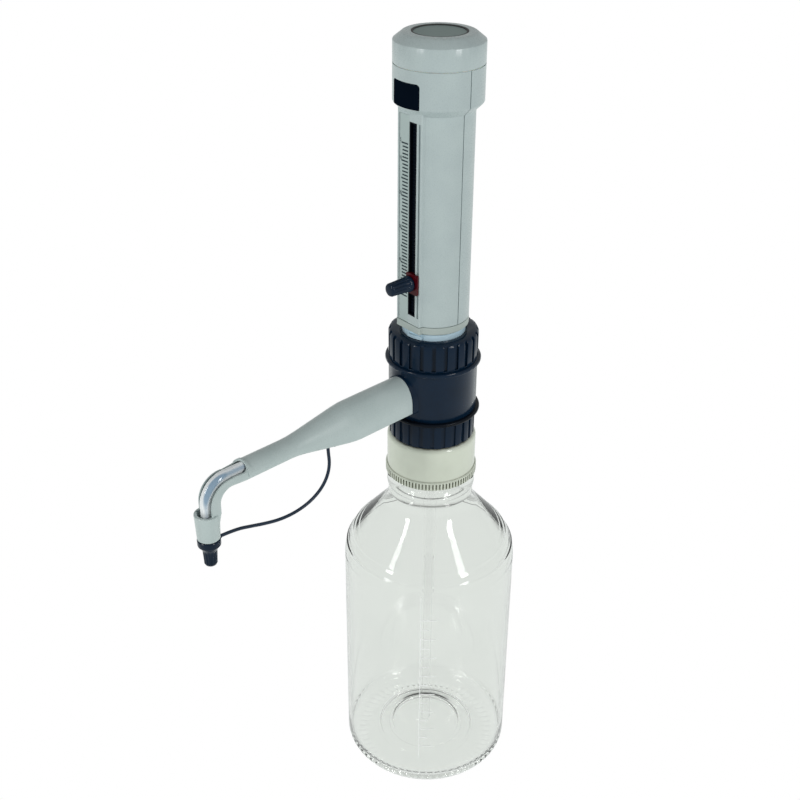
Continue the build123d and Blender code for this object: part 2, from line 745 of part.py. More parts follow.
with BuildPart() as tether:
    route = [Vector(0, -reach, z) for reach, z in TETHER_ROUTE]
    tether_radii = cord_radii(route)
    with BuildLine() as tether_path:
        FilletPolyline(*route, radius=tether_radii)
    with BuildSketch(Plane(origin=route[0], z_dir=route[1] - route[0])):
        Circle(TETHER_DIAMETER / 2)
    sweep(path=tether_path.wire())
save(tether, "tether")
tether_length = tether_path.wire().length
section_area = pi * TETHER_DIAMETER**2 / 4
print("tether radii", [round(r, 1) for r in tether_radii])
print("tether length", round(tether_length, 1), "volume ratio",
      round(tether.part.volume / (tether_length * section_area), 4))


# ---------------------------------------------------------------- nozzle cap
with BuildPart() as nozzle_cap:
    ring_radius, ring_bottom, ring_top = CAP_RING
    stem_top_radius, stem_end_radius, stem_top, stem_end = CAP_STEM
    cap_plane = side_plane(NOZZLE_REACH)
    cap_outline = [
        (0, stem_end),
        (stem_end_radius - 1.3, stem_end),
        (stem_end_radius, stem_end + 1.3),
        (stem_top_radius, stem_top),
        (ring_radius - 0.4, ring_bottom),
        (ring_radius, ring_bottom + 0.6),
        (ring_radius, ring_top - 0.3),
        (ring_radius - 0.3, ring_top),
        (3.4, ring_top),
        (3.4, 229.0),
        (TIP_RADIUS + 0.35, 229.0),
        (TIP_RADIUS + 0.35, TIP_Z - 0.8),
        (0, TIP_Z - 0.8),
    ]
    turned(cap_outline, nozzle_axis, cap_plane)
    with Locations((0, -NOZZLE_REACH, 0)):
        with PolarLocations(stem_top_radius + 0.75, 12):
            with Locations((0, 0, (stem_top + stem_end) / 2 + 0.4)):
                Cylinder(0.85, stem_top - stem_end - 1.6, mode=Mode.SUBTRACT)
    # the lug that the tether runs into
    lug_reach = TETHER_ROUTE[-1][0] + 0.12
    lug_length = NOZZLE_REACH - ring_radius + 0.4 - lug_reach
    with BuildSketch(side_plane(lug_reach)):
        with Locations((0, TETHER_ROUTE[-1][1])):
            Circle(1.15)
    extrude(amount=lug_length)
save(nozzle_cap, "nozzle_cap")


# ---------------------------------------------------------------- filling tubes
with BuildPart() as filling_tube:
    turned(ring(FILL_TUBE[0], FILL_TUBE[1], *FILL_TUBE_Z))
save(filling_tube, "filling_tube")

with BuildPart() as telescopic_tube:
    turned(ring(LOWER_TUBE[0], LOWER_TUBE[1], *LOWER_TUBE_Z))
    # slanting foot, so that the tube can't close itself against the bottle's floor
    with BuildSketch(Plane.XZ):
        with BuildLine():
            foot = LOWER_TUBE_Z[0] - 2
            Polyline((-5, foot), (5, foot), (5, foot + 6), close=True)
        make_face()
    extrude(amount=6, both=True, mode=Mode.SUBTRACT)
save(telescopic_tube, "telescopic_tube")


# ---------------------------------------------------------------- barrel and guide sleeve
with BuildPart() as barrel_gasket:
    turned(ring(16.0, 12.2, BLOCK_TOP, BARREL_Z[0]))
save(barrel_gasket, "barrel_gasket")

with BuildPart() as glass_barrel:
    turned(ring(BARREL[0], BARREL[1], *BARREL_Z))
save(glass_barrel, "glass_barrel")

with BuildPart() as guide_sleeve:
    flange_radius, flange_bottom, flange_top = SLEEVE_FLANGE
    ring_radius, ring_top = BLUE_RING
    turned([
        (SLEEVE[1], flange_bottom),
        (flange_radius, flange_bottom),
        (flange_radius, flange_top),
        (ring_radius, flange_top),
        (ring_radius, ring_top - 0.5),
        (ring_radius - 0.5, ring_top),
        (SLEEVE[0], ring_top),
        (SLEEVE[0], SLEEVE_TOP - 0.8),
        (SLEEVE[0] - 0.6, SLEEVE_TOP),
        (SLEEVE[1], SLEEVE_TOP),
    ])
    # locating lug, a sector standing out over the nut
    with BuildSketch(Plane.XY.offset(LUG_Z[0])):
        with BuildLine():
            start = radians(LUG_DIRECTION - LUG_ANGLE / 2)
            end = radians(LUG_DIRECTION + LUG_ANGLE / 2)
            inner = ring_radius - 0.6
            points = [(LUG_RADIUS * cos(start), LUG_RADIUS * sin(start)),
                      (LUG_RADIUS * cos(end), LUG_RADIUS * sin(end))]
            middle = radians(LUG_DIRECTION)
            ThreePointArc(points[0], (LUG_RADIUS * cos(middle), LUG_RADIUS * sin(middle)), points[1])
            Polyline(points[1], (inner * cos(end), inner * sin(end)),
                     (inner * cos(start), inner * sin(start)), points[0])
        make_face()
    extrude(amount=LUG_Z[1] - LUG_Z[0])
save(guide_sleeve, "guide_sleeve")

with BuildPart() as upper_union_nut:
    radius, bottom, top = UPPER_NUT
    ring_radius = BLUE_RING[0]
    flange_top = SLEEVE_FLANGE[2]
    ribbed_nut(
        [
            (COLLAR_SPIGOT[0] + 0.15, bottom),
            (radius, bottom),
            (radius, top - 2.0),
            (radius - 0.6, top - 0.8),
            (radius - 2.2, top),
            (ring_radius + 0.9, top),
            (ring_radius + 0.3, top - 0.6),
            (ring_radius + 0.3, flange_top + 0.1),
            (COLLAR_SPIGOT[0] + 0.15, flange_top + 0.1),
        ],
        radius, bottom + 0.6, top + 2.0, 1.4,
    )
save(upper_union_nut, "upper_union_nut")


# ---------------------------------------------------------------- piston
with BuildPart() as piston:
    bottom, top = PISTON_Z
    turned([
        (0, bottom),
        (PISTON_RADIUS - 0.6, bottom),
        (PISTON_RADIUS, bottom + 0.6),
        (PISTON_RADIUS, bottom + 2.5),
        (PISTON_RADIUS - 1.6, bottom + 2.5),
        (PISTON_RADIUS - 1.6, bottom + 4.5),
        (PISTON_RADIUS, bottom + 4.5),
        (PISTON_RADIUS, bottom + 9.0),
        (PISTON_RADIUS - 1.6, bottom + 9.0),
        (PISTON_RADIUS - 1.6, bottom + 11.0),
        (PISTON_RADIUS, bottom + 11.0),
        (PISTON_RADIUS, top),
        (ROD_RADIUS, top),
        (ROD_RADIUS, ROD_Z[0]),
        (0, ROD_Z[0]),
    ])
save(piston, "piston")

with BuildPart() as piston_seals:
    for start in (2.5, 9.0):
        turned(ring(SEAL_RADIUS, PISTON_RADIUS - 1.6, PISTON_Z[0] + start, PISTON_Z[0] + start + 2.0))
save(piston_seals, "piston_seals")

with BuildPart() as piston_rod:
    bottom, top = ROD_Z
    stud_radius, stud_top = ROD_STUD
    turned([
        (0, bottom), (ROD_RADIUS, bottom), (ROD_RADIUS, top), (stud_radius, top),
        (stud_radius, stud_top - 0.6), (stud_radius - 0.6, stud_top), (0, stud_top),
    ])
save(piston_rod, "piston_rod")


# ---------------------------------------------------------------- housing shells
with BuildPart() as housing:
    extrude(housing_section(SHELL_BOTTOM), amount=HEAD_BOTTOM + 1 - SHELL_BOTTOM)
    shell_top = PARTING_Z - PARTING_GAP / 2
    turned([
        (0, HEAD_CONE_Z),
        (TUBE_OUTER - 0.01, HEAD_CONE_Z),
        (HEAD_RADIUS - 0.3, HEAD_BOTTOM - 0.3),
        (HEAD_RADIUS, HEAD_BOTTOM + 0.3),
        (HEAD_RADIUS, shell_top),
        (0, shell_top),
    ])
    inside = [
        (0, SHELL_BOTTOM - 1),
        (TUBE_INNER, SHELL_BOTTOM - 1),
        (TUBE_INNER, HEAD_BOTTOM + 1),
        (HEAD_INNER, HEAD_BOTTOM + 5),
        (HEAD_INNER, shell_top + 1),
        (0, shell_top + 1),
    ]
    turned(inside, mode=Mode.SUBTRACT)
    # slot for the volume pointer and the groove beside it
    slot_width = SLOT["right"] - SLOT["left"]
    slot_height = SLOT["top"] - SLOT["bottom"]
    slot_middle = (SLOT["top"] + SLOT["bottom"]) / 2
    with Locations(((SLOT["left"] + SLOT["right"]) / 2, -TUBE_OUTER, slot_middle)):
        Box(slot_width, 8, slot_height, mode=Mode.SUBTRACT)
    with Locations(((TRACK["left"] + TRACK["right"]) / 2, -TUBE_OUTER, slot_middle)):
        Box(TRACK["right"] - TRACK["left"], 2 * TRACK["depth"], slot_height, mode=Mode.SUBTRACT)
    # recess for the scale plate
    recess_left = PLATE["left"] - 0.35
    recess_height = PLATE["top"] + 0.1 - SHELL_BOTTOM
    recess_middle = (recess_left + SLOT["left"]) / 2
    with Locations((recess_middle, -TUBE_OUTER, SHELL_BOTTOM + recess_height / 2)):
        Box(SLOT["left"] - recess_left, 2 * PLATE["depth"], recess_height, mode=Mode.SUBTRACT)
    # window opening in the head
    extrude(window_face(HEAD_INNER - 6), amount=12, mode=Mode.SUBTRACT)

with BuildPart() as seam_groove:
    seam_height = shell_top - SHELL_BOTTOM
    with Locations((0, 0, SHELL_BOTTOM + seam_height / 2)):
        Box(60, SEAM_GROOVE, seam_height + 2)
    tube_root = TUBE_OUTER - SEAM_DEPTH
    head_root = HEAD_RADIUS - SEAM_DEPTH
    seam_core = [
        (0, SHELL_BOTTOM - 2),
        (tube_root, SHELL_BOTTOM - 2),
        (tube_root, HEAD_CONE_Z + 0.2),
        (head_root, HEAD_BOTTOM + 0.2),
        (head_root, shell_top + 2),
        (0, shell_top + 2),
    ]
    turned(seam_core, mode=Mode.SUBTRACT)

with BuildPart() as front_shell:
    add(housing.part)
    add(seam_groove.part, mode=Mode.SUBTRACT)
    split(bisect_by=Plane.XZ, keep=Keep.TOP)
save_turned(front_shell, "front_shell")

with BuildPart() as back_shell:
    add(housing.part)
    add(seam_groove.part, mode=Mode.SUBTRACT)
    split(bisect_by=Plane.XZ, keep=Keep.BOTTOM)
save_turned(back_shell, "back_shell")

with BuildPart() as scale_plate:
    plate_width = SLOT["left"] - PLATE["left"]
    plate_height = PLATE["top"] - PLATE["bottom"]
    plate_x = (PLATE["left"] + SLOT["left"]) / 2
    plate_z = (PLATE["bottom"] + PLATE["top"]) / 2
    with Locations((plate_x, -TUBE_OUTER + PLATE["depth"] / 2, plate_z)):
        Box(plate_width, PLATE["depth"], plate_height)
    chamfer(scale_plate.edges().filter_by(Axis.Z).sort_by(Axis.Y)[:2].sort_by(Axis.X)[0], 0.2)
save_turned(scale_plate, "scale_plate")

with BuildPart() as slot_channel:
    floor_back, floor_front = CHANNEL_FLOOR
    wall_front = TUBE_OUTER - 0.2
    left, right = SLOT["left"], SLOT["right"]
    with Locations(((left + right) / 2, -(floor_back + wall_front) / 2, slot_middle)):
        Box(slot_width, wall_front - floor_back, slot_height)
    inner_height = slot_height - 2 * CHANNEL_WALL
    with Locations(((left + right) / 2, -(floor_front + wall_front) / 2 - 1, slot_middle)):
        Box(slot_width - 2 * CHANNEL_WALL, wall_front - floor_front + 2, inner_height, mode=Mode.SUBTRACT)
    # rack teeth across the floor, one for each millilitre
    tooth_count = int(inner_height // TOOTH_PITCH)
    with BuildSketch(Plane.YZ.offset(left + CHANNEL_WALL)):
        with BuildLine():
            teeth = [(-floor_front + 0.05, SLOT["bottom"] + CHANNEL_WALL)]
            for tooth in range(tooth_count):
                z = SLOT["bottom"] + CHANNEL_WALL + 0.3 + tooth * TOOTH_PITCH
                teeth += [
                    (-floor_front, z),
                    (-floor_front - TOOTH_HEIGHT, z + 0.5 * TOOTH_PITCH),
                    (-floor_front - TOOTH_HEIGHT, z + 0.6 * TOOTH_PITCH),
                    (-floor_front, z + 0.9 * TOOTH_PITCH),
                ]
            teeth.append((-floor_front + 0.05, SLOT["top"] - CHANNEL_WALL))
            Polyline(*teeth, close=True)
        make_face()
    extrude(amount=slot_width - 2 * CHANNEL_WALL)
save_turned(slot_channel, "slot_channel")

with BuildPart() as base_ring:
    bottom, top = BASE_RING_Z
    extrude(housing_section(bottom), amount=top - bottom)
    extrude(housing_section(top, inset=0.7), amount=SHELL_BOTTOM - top)
    chamfer(base_ring.faces().sort_by(Axis.Z)[0].outer_wire().edges(), 0.5)
    with Locations((0, 0, bottom - 1)):
        Cylinder(BUSH[0], 10, mode=Mode.SUBTRACT, align=ON_FLOOR)
save_turned(base_ring, "base_ring")

with BuildPart() as guide_bush:
    turned(ring(BUSH[0], BUSH[1], BASE_RING_Z[0] + 0.4, BUSH_TOP))
save(guide_bush, "guide_bush")

with BuildPart() as head_window:
    with BuildSketch(Plane.XY.offset(WINDOW_Z[0])):
        Circle(HEAD_RADIUS - 0.05)
        Circle(HEAD_RADIUS - 1.6, mode=Mode.SUBTRACT)
    extrude(amount=WINDOW_Z[1] - WINDOW_Z[0])
    extrude(window_face(0, gap=0.04), amount=40, mode=Mode.INTERSECT)
save_turned(head_window, "head_window")


# ---------------------------------------------------------------- head
CAP_ROOF_Z = 444.0
SCREW_CIRCLE = 10.5
SCREW_RADIUS = 1.4
SCREW_HEAD = (2.6, 1.8)
DISC_Z = (450.9, 452.2)
CARRIER_Z = (433.5, 437.8)
COUNTERBORE_Z = 446.8

with BuildPart() as head_cap:
    cap_bottom = PARTING_Z + PARTING_GAP / 2
    rim_outer, rim_middle, rim_inner = CAP_RIM
    turned([
        (HEAD_INNER, cap_bottom),
        (HEAD_RADIUS, cap_bottom),
        (HEAD_RADIUS, CAP_SHOULDER_Z),
        (HEAD_RADIUS - 0.12, CAP_SHOULDER_Z + 0.3),
        (HEAD_RADIUS - 0.4, CAP_SHOULDER_Z + 0.55),
        (rim_outer, CAP_TOP - 0.6),
        (rim_middle, CAP_TOP - 0.2),
        (rim_inner, CAP_TOP),
        (RECESS_RADIUS + 0.15, CAP_TOP - 0.05),
        (RECESS_RADIUS, CAP_TOP - 0.3),
        (RECESS_RADIUS, DISC_Z[0]),
        (6.0, DISC_Z[0]),
        (6.0, COUNTERBORE_Z),
        (ROD_STUD[0], COUNTERBORE_Z),
        (ROD_STUD[0], CAP_ROOF_Z),
        (ROD_RADIUS, CAP_ROOF_Z),
        (ROD_RADIUS, cap_bottom),
        (7.0, cap_bottom),
        (7.0, CAP_ROOF_Z - 1),
        (HEAD_INNER, CAP_ROOF_Z - 1),
    ])
    with PolarLocations(SCREW_CIRCLE, 3, start_angle=90):
        with Locations((0, 0, CAP_ROOF_Z - 7)):
            Cylinder(SCREW_RADIUS, 20, mode=Mode.SUBTRACT, align=ON_FLOOR)
        with Locations((0, 0, DISC_Z[0] - SCREW_HEAD[1])):
            Cylinder(SCREW_HEAD[0] + 0.1, 5, mode=Mode.SUBTRACT, align=ON_FLOOR)
save_turned(head_cap, "head_cap")

with BuildPart() as cap_screws:
    with PolarLocations(SCREW_CIRCLE, 3, start_angle=90):
        with Locations((0, 0, CARRIER_Z[0] + 1)):
            Cylinder(SCREW_RADIUS, DISC_Z[0] - SCREW_HEAD[1] - CARRIER_Z[0] - 1,
                     align=ON_FLOOR)
        with Locations((0, 0, DISC_Z[0] - SCREW_HEAD[1])):
            Cylinder(SCREW_HEAD[0], SCREW_HEAD[1] - 0.1, align=ON_FLOOR)
            Box(0.7, 4.0, 1.4, mode=Mode.SUBTRACT)
save_turned(cap_screws, "cap_screws")

with BuildPart() as head_carrier:
    bottom, top = CARRIER_Z
    turned([
        (ROD_RADIUS, bottom), (HEAD_INNER, bottom), (HEAD_INNER, top),
        (HEAD_RADIUS - 0.65, top), (HEAD_RADIUS - 0.65, cap_bottom), (ROD_RADIUS, cap_bottom),
    ])
    with PolarLocations(SCREW_CIRCLE, 3, start_angle=90):
        with Locations((0, 0, bottom + 1)):
            Cylinder(SCREW_RADIUS, 10, mode=Mode.SUBTRACT, align=ON_FLOOR)
save_turned(head_carrier, "head_carrier")

with BuildPart() as head_disc:
    turned([
        (0, DISC_Z[0]), (DISC_RADIUS, DISC_Z[0]), (DISC_RADIUS, DISC_Z[1] - 0.3),
        (DISC_RADIUS - 0.3, DISC_Z[1]), (0, DISC_Z[1]),
    ])
save(head_disc, "head_disc")

with BuildPart() as rod_nut:
    with BuildSketch(Plane.XY.offset(COUNTERBORE_Z)):
        RegularPolygon(radius=5.2, side_count=6)
        Circle(ROD_STUD[0], mode=Mode.SUBTRACT)
    extrude(amount=3.0)
save_turned(rod_nut, "rod_nut")


# ---------------------------------------------------------------- volume pointer
with BuildPart() as pointer_carriage:
    left, right = CARRIAGE["left"], CARRIAGE["right"]
    front, back = CARRIAGE["front"], CARRIAGE["back"]
    with BuildSketch(side_plane(back)):
        with Locations(((left + right) / 2, POINTER_Z)):
            RectangleRounded(right - left, CARRIAGE["height"], 0.8)
    extrude(amount=front - back)
    # neck in the channel, and the key that runs in the groove beside it
    neck_end = CHANNEL_FLOOR[1] + TOOTH_HEIGHT + 0.35
    neck_left = SLOT["left"] + CHANNEL_WALL + 0.35
    neck_right = SLOT["right"] - CHANNEL_WALL - 0.35
    with Locations(((neck_left + neck_right) / 2, -(neck_end + back) / 2, POINTER_Z)):
        Box(neck_right - neck_left, back - neck_end, CARRIAGE["height"] - 0.8)
    key_end = TUBE_OUTER - TRACK["depth"] + 0.3
    with Locations(((TRACK["left"] + TRACK["right"]) / 2, -(key_end + back) / 2, POINTER_Z)):
        Box(TRACK["right"] - TRACK["left"] - 0.6, back - key_end, CARRIAGE["height"] - 0.8)
    with BuildSketch(side_plane(10)):
        with Locations((KNOB_X, POINTER_Z)):
            Circle(STUD_RADIUS + 0.06)
    extrude(amount=15, mode=Mode.SUBTRACT)
save_turned(pointer_carriage, "pointer_carriage")

KNOB_PLANE = Plane(origin=(KNOB_X, -KNOB["start"], POINTER_Z), x_dir=(1, 0, 0), z_dir=(0, -1, 0))
KNOB_LENGTH = KNOB["end"] - KNOB["start"]

with BuildPart() as pointer_knob:
    root, tip = KNOB["root"], KNOB["tip"]
    knob_outline = [
        (0, 0),
        (root - 0.3, 0),
        (root, -0.3),
        (root, -1.6),
        (root - 0.25, -2.0),
        (tip + 0.1, -KNOB_LENGTH + 1.6),
        (tip - 0.4, -KNOB_LENGTH + 0.6),
        (tip - 1.3, -KNOB_LENGTH),
        (0, -KNOB_LENGTH),
    ]
    knob_side = Plane(origin=KNOB_PLANE.origin, x_dir=(1, 0, 0), z_dir=(0, 0, 1))
    turned(knob_outline, Axis(KNOB_PLANE.origin, (0, 1, 0)), knob_side)
    for flute in range(12):
        angle = radians(30 * flute)
        spread = root + 0.42
        centre = (KNOB_X + spread * cos(angle), POINTER_Z + spread * sin(angle))
        with BuildSketch(side_plane(KNOB["start"] + 2.2)):
            with Locations(centre):
                Circle(0.75)
        extrude(amount=KNOB_LENGTH, mode=Mode.SUBTRACT)
    with BuildSketch(KNOB_PLANE):
        Circle(STUD_RADIUS)
    extrude(amount=10, mode=Mode.SUBTRACT)
save_turned(pointer_knob, "pointer_knob")

with BuildPart() as clamp_stud:
    stud_start = CHANNEL_FLOOR[1] + TOOTH_HEIGHT + 0.4
    with BuildSketch(side_plane(stud_start)):
        with Locations((KNOB_X, POINTER_Z)):
            Circle(STUD_RADIUS)
    extrude(amount=KNOB["start"] + 10 - stud_start)
save_turned(clamp_stud, "clamp_stud")
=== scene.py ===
# %% [markdown]
# # A bottle top dispenser
# The real thing is a piston dispenser screwed on a clear laboratory bottle. Its working
# parts arrive as a fixed frame, already at their real size. This script gives them their
# surfaces, models again the pieces whose edges and mouldings matter to the eye, adds what
# is printed on them, and sets up the picture.

# %% Load the frame
import json
import math

import bpy
from mathutils import Matrix, Vector


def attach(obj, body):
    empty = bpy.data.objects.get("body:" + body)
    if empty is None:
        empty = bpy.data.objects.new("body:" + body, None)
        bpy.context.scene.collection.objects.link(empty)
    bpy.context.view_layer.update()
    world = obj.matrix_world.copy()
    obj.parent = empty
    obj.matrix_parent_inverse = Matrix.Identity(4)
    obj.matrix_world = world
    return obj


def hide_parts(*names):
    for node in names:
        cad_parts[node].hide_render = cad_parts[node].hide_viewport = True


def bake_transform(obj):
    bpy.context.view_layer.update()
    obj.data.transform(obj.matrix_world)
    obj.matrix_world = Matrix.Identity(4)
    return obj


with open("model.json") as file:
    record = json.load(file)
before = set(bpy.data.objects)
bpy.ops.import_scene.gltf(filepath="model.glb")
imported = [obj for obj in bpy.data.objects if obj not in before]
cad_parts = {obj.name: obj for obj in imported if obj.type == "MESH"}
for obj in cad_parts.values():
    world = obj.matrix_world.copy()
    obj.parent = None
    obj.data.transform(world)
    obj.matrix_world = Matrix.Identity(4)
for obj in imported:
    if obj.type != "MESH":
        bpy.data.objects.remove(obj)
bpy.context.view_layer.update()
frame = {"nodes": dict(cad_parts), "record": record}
MM = 0.001

# %% [markdown]
# ## Camera
# A long lens from above and to the right, so the arm reaches away to the left and the flat
# face of the housing is seen nearly edge on. The directions are kept as a small matrix,
# which is easier to read back than three angles.

# %% Camera
camera_data = bpy.data.cameras.new("studio_camera")
camera_data.sensor_width = 36.0
camera_data.lens = 54.1
camera_data.clip_start = 0.05
camera = bpy.data.objects.new("studio_camera", camera_data)
bpy.context.collection.objects.link(camera)
camera.location = (0.4072, -0.4217, 0.5838)
looking = Vector((-0.6222, 0.6059, -0.4958)).normalized()
upwards = Vector((-0.3596, 0.3419, 0.8682))
sideways = looking.cross(upwards).normalized()
upwards = sideways.cross(looking)
turn = Matrix((sideways, upwards, -looking)).transposed()
camera.rotation_euler = turn.to_euler()
bpy.context.scene.camera = camera
print("camera", camera_data.lens, "mm lens, at", [round(c, 3) for c in camera.location], "m")

# %% [markdown]
# ## Helpers
# Operators act on all that is selected, so each piece begins from an empty selection. A
# finished piece has its place in its own mesh and its object at the origin, and its round
# surfaces are shaded smooth while its sharper edges stay crisp.

# %% Selecting and finishing pieces
def select_only(*pieces):
    """Leave object mode's selection on these pieces alone, the first one active."""
    if bpy.context.object and bpy.context.object.mode != "OBJECT":
        bpy.ops.object.mode_set(mode="OBJECT")
    bpy.ops.object.select_all(action="DESELECT")
    for piece in pieces:
        piece.select_set(True)
    bpy.context.view_layer.objects.active = pieces[0] if pieces else None


def settle(piece, name, smooth_angle=35):
    """Name a piece, put its place into its mesh and shade its round surfaces smooth."""
    piece.name = name
    piece.data.name = name
    select_only(piece)
    bpy.ops.object.transform_apply(location=True, rotation=True, scale=True)
    bpy.ops.object.shade_smooth_by_angle(angle=math.radians(smooth_angle))
    return piece


# %% [markdown]
# ## Tether
# The nozzle cap hangs on a thin moulded strap, so that it isn't lost. It is one smooth
# curve with a round section. It could be a chain of cylinders, but a NURBS line under a few
# control points sags evenly and has no kinks.

# %% Tether route
TETHER_DIAMETER = 1.8 * MM
TETHER_ROUTE = [
    (77.7, 255.9),
    (77.3, 248.5),
    (76.5, 241.0),
    (78.3, 233.8),
    (83.2, 227.6),
    (91.0, 223.4),
    (100.6, 221.6),
    (110.6, 222.0),
    (120.3, 224.2),
    (129.7, 227.1),
    (138.9, 229.8),
    (148.3, 230.5),
]
route = [Vector((0, -reach * MM, z * MM)) for reach, z in TETHER_ROUTE]

curve = bpy.data.curves.new("tether_line", "CURVE")
curve.dimensions = "3D"
curve.resolution_u = 10
spline = curve.splines.new("NURBS")
spline.points.add(len(route) - 1)
for point, place in zip(spline.points, route):
    point.co = (*place, 1)
spline.order_u = 3
spline.use_endpoint_u = True
line = bpy.data.objects.new("tether_line", curve)
bpy.context.collection.objects.link(line)
bpy.context.view_layer.update()
depsgraph = bpy.context.evaluated_depsgraph_get()
line_mesh = bpy.data.meshes.new_from_object(line.evaluated_get(depsgraph))

# %% [markdown]
# The line gets its thickness as a bevel and becomes a mesh, which stands in for the frame's
# tether.

# %% Tether strap
curve.bevel_depth = TETHER_DIAMETER / 2
curve.bevel_resolution = 4
curve.use_fill_caps = True
select_only(line)
bpy.ops.object.convert(target="MESH")
tether = settle(bpy.context.object, "tether_strap")
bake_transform(tether)
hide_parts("tether")
print("tether strap", len(tether.data.polygons), "faces")

# %% [markdown]
# ## Finishes
# Colours are picked as sRGB hex, the way a colour card gives them, and turned to linear
# light by one function. One more function adds a shader node.

# %% Colour and node helpers
def linear(hex_colour):
    """Linear RGBA from an sRGB hex colour such as '#1e2d40'."""
    parts = [int(hex_colour[i:i + 2], 16) / 255 for i in (1, 3, 5)]
    curve_of = [c / 12.92 if c <= 0.04045 else ((c + 0.055) / 1.055) ** 2.4 for c in parts]
    return (*curve_of, 1.0)


def add_node(tree, kind, links=None, **settings):
    """Add a node, set its properties and sockets, and link sockets to other nodes' outputs."""
    node = tree.nodes.new(kind)
    for key, value in settings.items():
        if hasattr(node, key):
            setattr(node, key, value)
        else:
            node.inputs[key.replace("_", " ")].default_value = value
    for socket, source in (links or {}).items():
        tree.links.new(source, node.inputs[socket])
    return node


def new_finish(name):
    """An empty material, its tree and its output node."""
    finish = bpy.data.materials.new(name)
    finish.use_nodes = True
    finish.node_tree.nodes.clear()
    output = finish.node_tree.nodes.new("ShaderNodeOutputMaterial")
    return finish, finish.node_tree, output


# %% [markdown]
# ### Moulded plastic
# This is the finish of most of the instrument. A spark-eroded mould leaves a fine grain,
# which breaks up the gloss, and the colour drifts a little with the wall's thickness. Two
# noise textures say both. Real grain is far finer than half a millimetre, and is drawn that
# coarse because it would vanish otherwise.

# %% Moulded plastic
TONE_PATCH_MM = 18.0
CREVICE_REACH_MM = 1.2


def moulded_plastic(name, hex_colour, shade_hex, roughness, grain_mm, grain_depth,
                    specular=0.5, coat=0.0, subsurface=0.0, crevice=None):
    """Moulded thermoplastic: a faint tone drift, fine grain, soft gloss, and shade painted into
    crevices if a crevice colour is given.
    """
    finish, tree, output = new_finish(name)
    place = add_node(tree, "ShaderNodeTexCoord")
    drift = add_node(tree, "ShaderNodeTexNoise", {"Vector": place.outputs["Object"]},
                     Scale=1 / (TONE_PATCH_MM * MM), Detail=3.0, Roughness=0.55)
    tone = add_node(tree, "ShaderNodeValToRGB", {"Fac": drift.outputs["Fac"]})
    tone.color_ramp.elements[0].position = 0.35
    tone.color_ramp.elements[0].color = linear(shade_hex)
    tone.color_ramp.elements[1].position = 0.65
    tone.color_ramp.elements[1].color = linear(hex_colour)
    colour = tone.outputs["Color"]
    if crevice:
        # Painted shade: the colour darkens where other surfaces are near, as shade falls in a
        # crevice.
        nearby = add_node(tree, "ShaderNodeAmbientOcclusion",
                          Distance=CREVICE_REACH_MM * MM, samples=8)
        painted_shade = add_node(tree, "ShaderNodeMixRGB", {"Fac": nearby.outputs["AO"], "Color2": colour},
                        Color1=linear(crevice))
        colour = painted_shade.outputs["Color"]
    grain = add_node(tree, "ShaderNodeTexNoise", {"Vector": place.outputs["Object"]},
                     Scale=1 / (grain_mm * MM), Detail=2.0, Roughness=0.6)
    rough = add_node(tree, "ShaderNodeMapRange", {"Value": grain.outputs["Fac"]},
                     To_Min=roughness - 0.05, To_Max=roughness + 0.05)
    bump = add_node(tree, "ShaderNodeBump", {"Height": grain.outputs["Fac"]},
                    Strength=0.35, Distance=grain_depth * MM)
    shader = add_node(tree, "ShaderNodeBsdfPrincipled",
                      {"Base Color": colour, "Roughness": rough.outputs["Result"],
                       "Normal": bump.outputs["Normal"]},
                      IOR=1.5, Specular_IOR_Level=specular, Coat_Weight=coat, Coat_Roughness=0.15,
                      Subsurface_Weight=subsurface, Subsurface_Scale=0.002)
    tree.links.new(shader.outputs["BSDF"], output.inputs["Surface"])
    return finish


# %% [markdown]
# ### Clear walls
# Glass and fluoropolymer tubes let light through. Blown and drawn walls are never quite
# even, so a slow ripple moves what is seen behind them.

# %% Clear walls
def clear_wall(name, hex_colour, ior, roughness, ripple_mm, ripple_depth):
    """Clear glass or plastic tube whose wall has slow ripples."""
    finish, tree, output = new_finish(name)
    place = add_node(tree, "ShaderNodeTexCoord")
    ripple = add_node(tree, "ShaderNodeTexNoise", {"Vector": place.outputs["Object"]},
                      Scale=1 / (ripple_mm * MM), Detail=1.0, Roughness=0.4)
    bump = add_node(tree, "ShaderNodeBump", {"Height": ripple.outputs["Fac"]},
                    Strength=0.5, Distance=ripple_depth * MM)
    shader = add_node(tree, "ShaderNodeBsdfPrincipled", {"Normal": bump.outputs["Normal"]},
                      IOR=ior, Roughness=roughness, Base_Color=linear(hex_colour),
                      Transmission_Weight=1.0)
    tree.links.new(shader.outputs["BSDF"], output.inputs["Surface"])
    return finish


# %% [markdown]
# ### Turned steel
# Piston rod, rod nut, clamp stud and screws are stainless steel. The turning tool leaves
# fine rings, which stretch the highlights along the part.

# %% Turned steel
def metal(name, hex_colour, roughness, streak_mm):
    """Turned metal with fine circular tool marks."""
    finish, tree, output = new_finish(name)
    place = add_node(tree, "ShaderNodeTexCoord")
    marks = add_node(tree, "ShaderNodeTexWave", {"Vector": place.outputs["Object"]},
                     bands_direction="Z", Scale=1 / (streak_mm * MM), Distortion=0.6, Detail=2.0)
    bump = add_node(tree, "ShaderNodeBump", {"Height": marks.outputs["Fac"]},
                    Strength=0.2, Distance=0.02 * MM)
    shader = add_node(tree, "ShaderNodeBsdfPrincipled", {"Normal": bump.outputs["Normal"]},
                      Metallic=1.0, Roughness=roughness, Base_Color=linear(hex_colour))
    tree.links.new(shader.outputs["BSDF"], output.inputs["Surface"])
    return finish
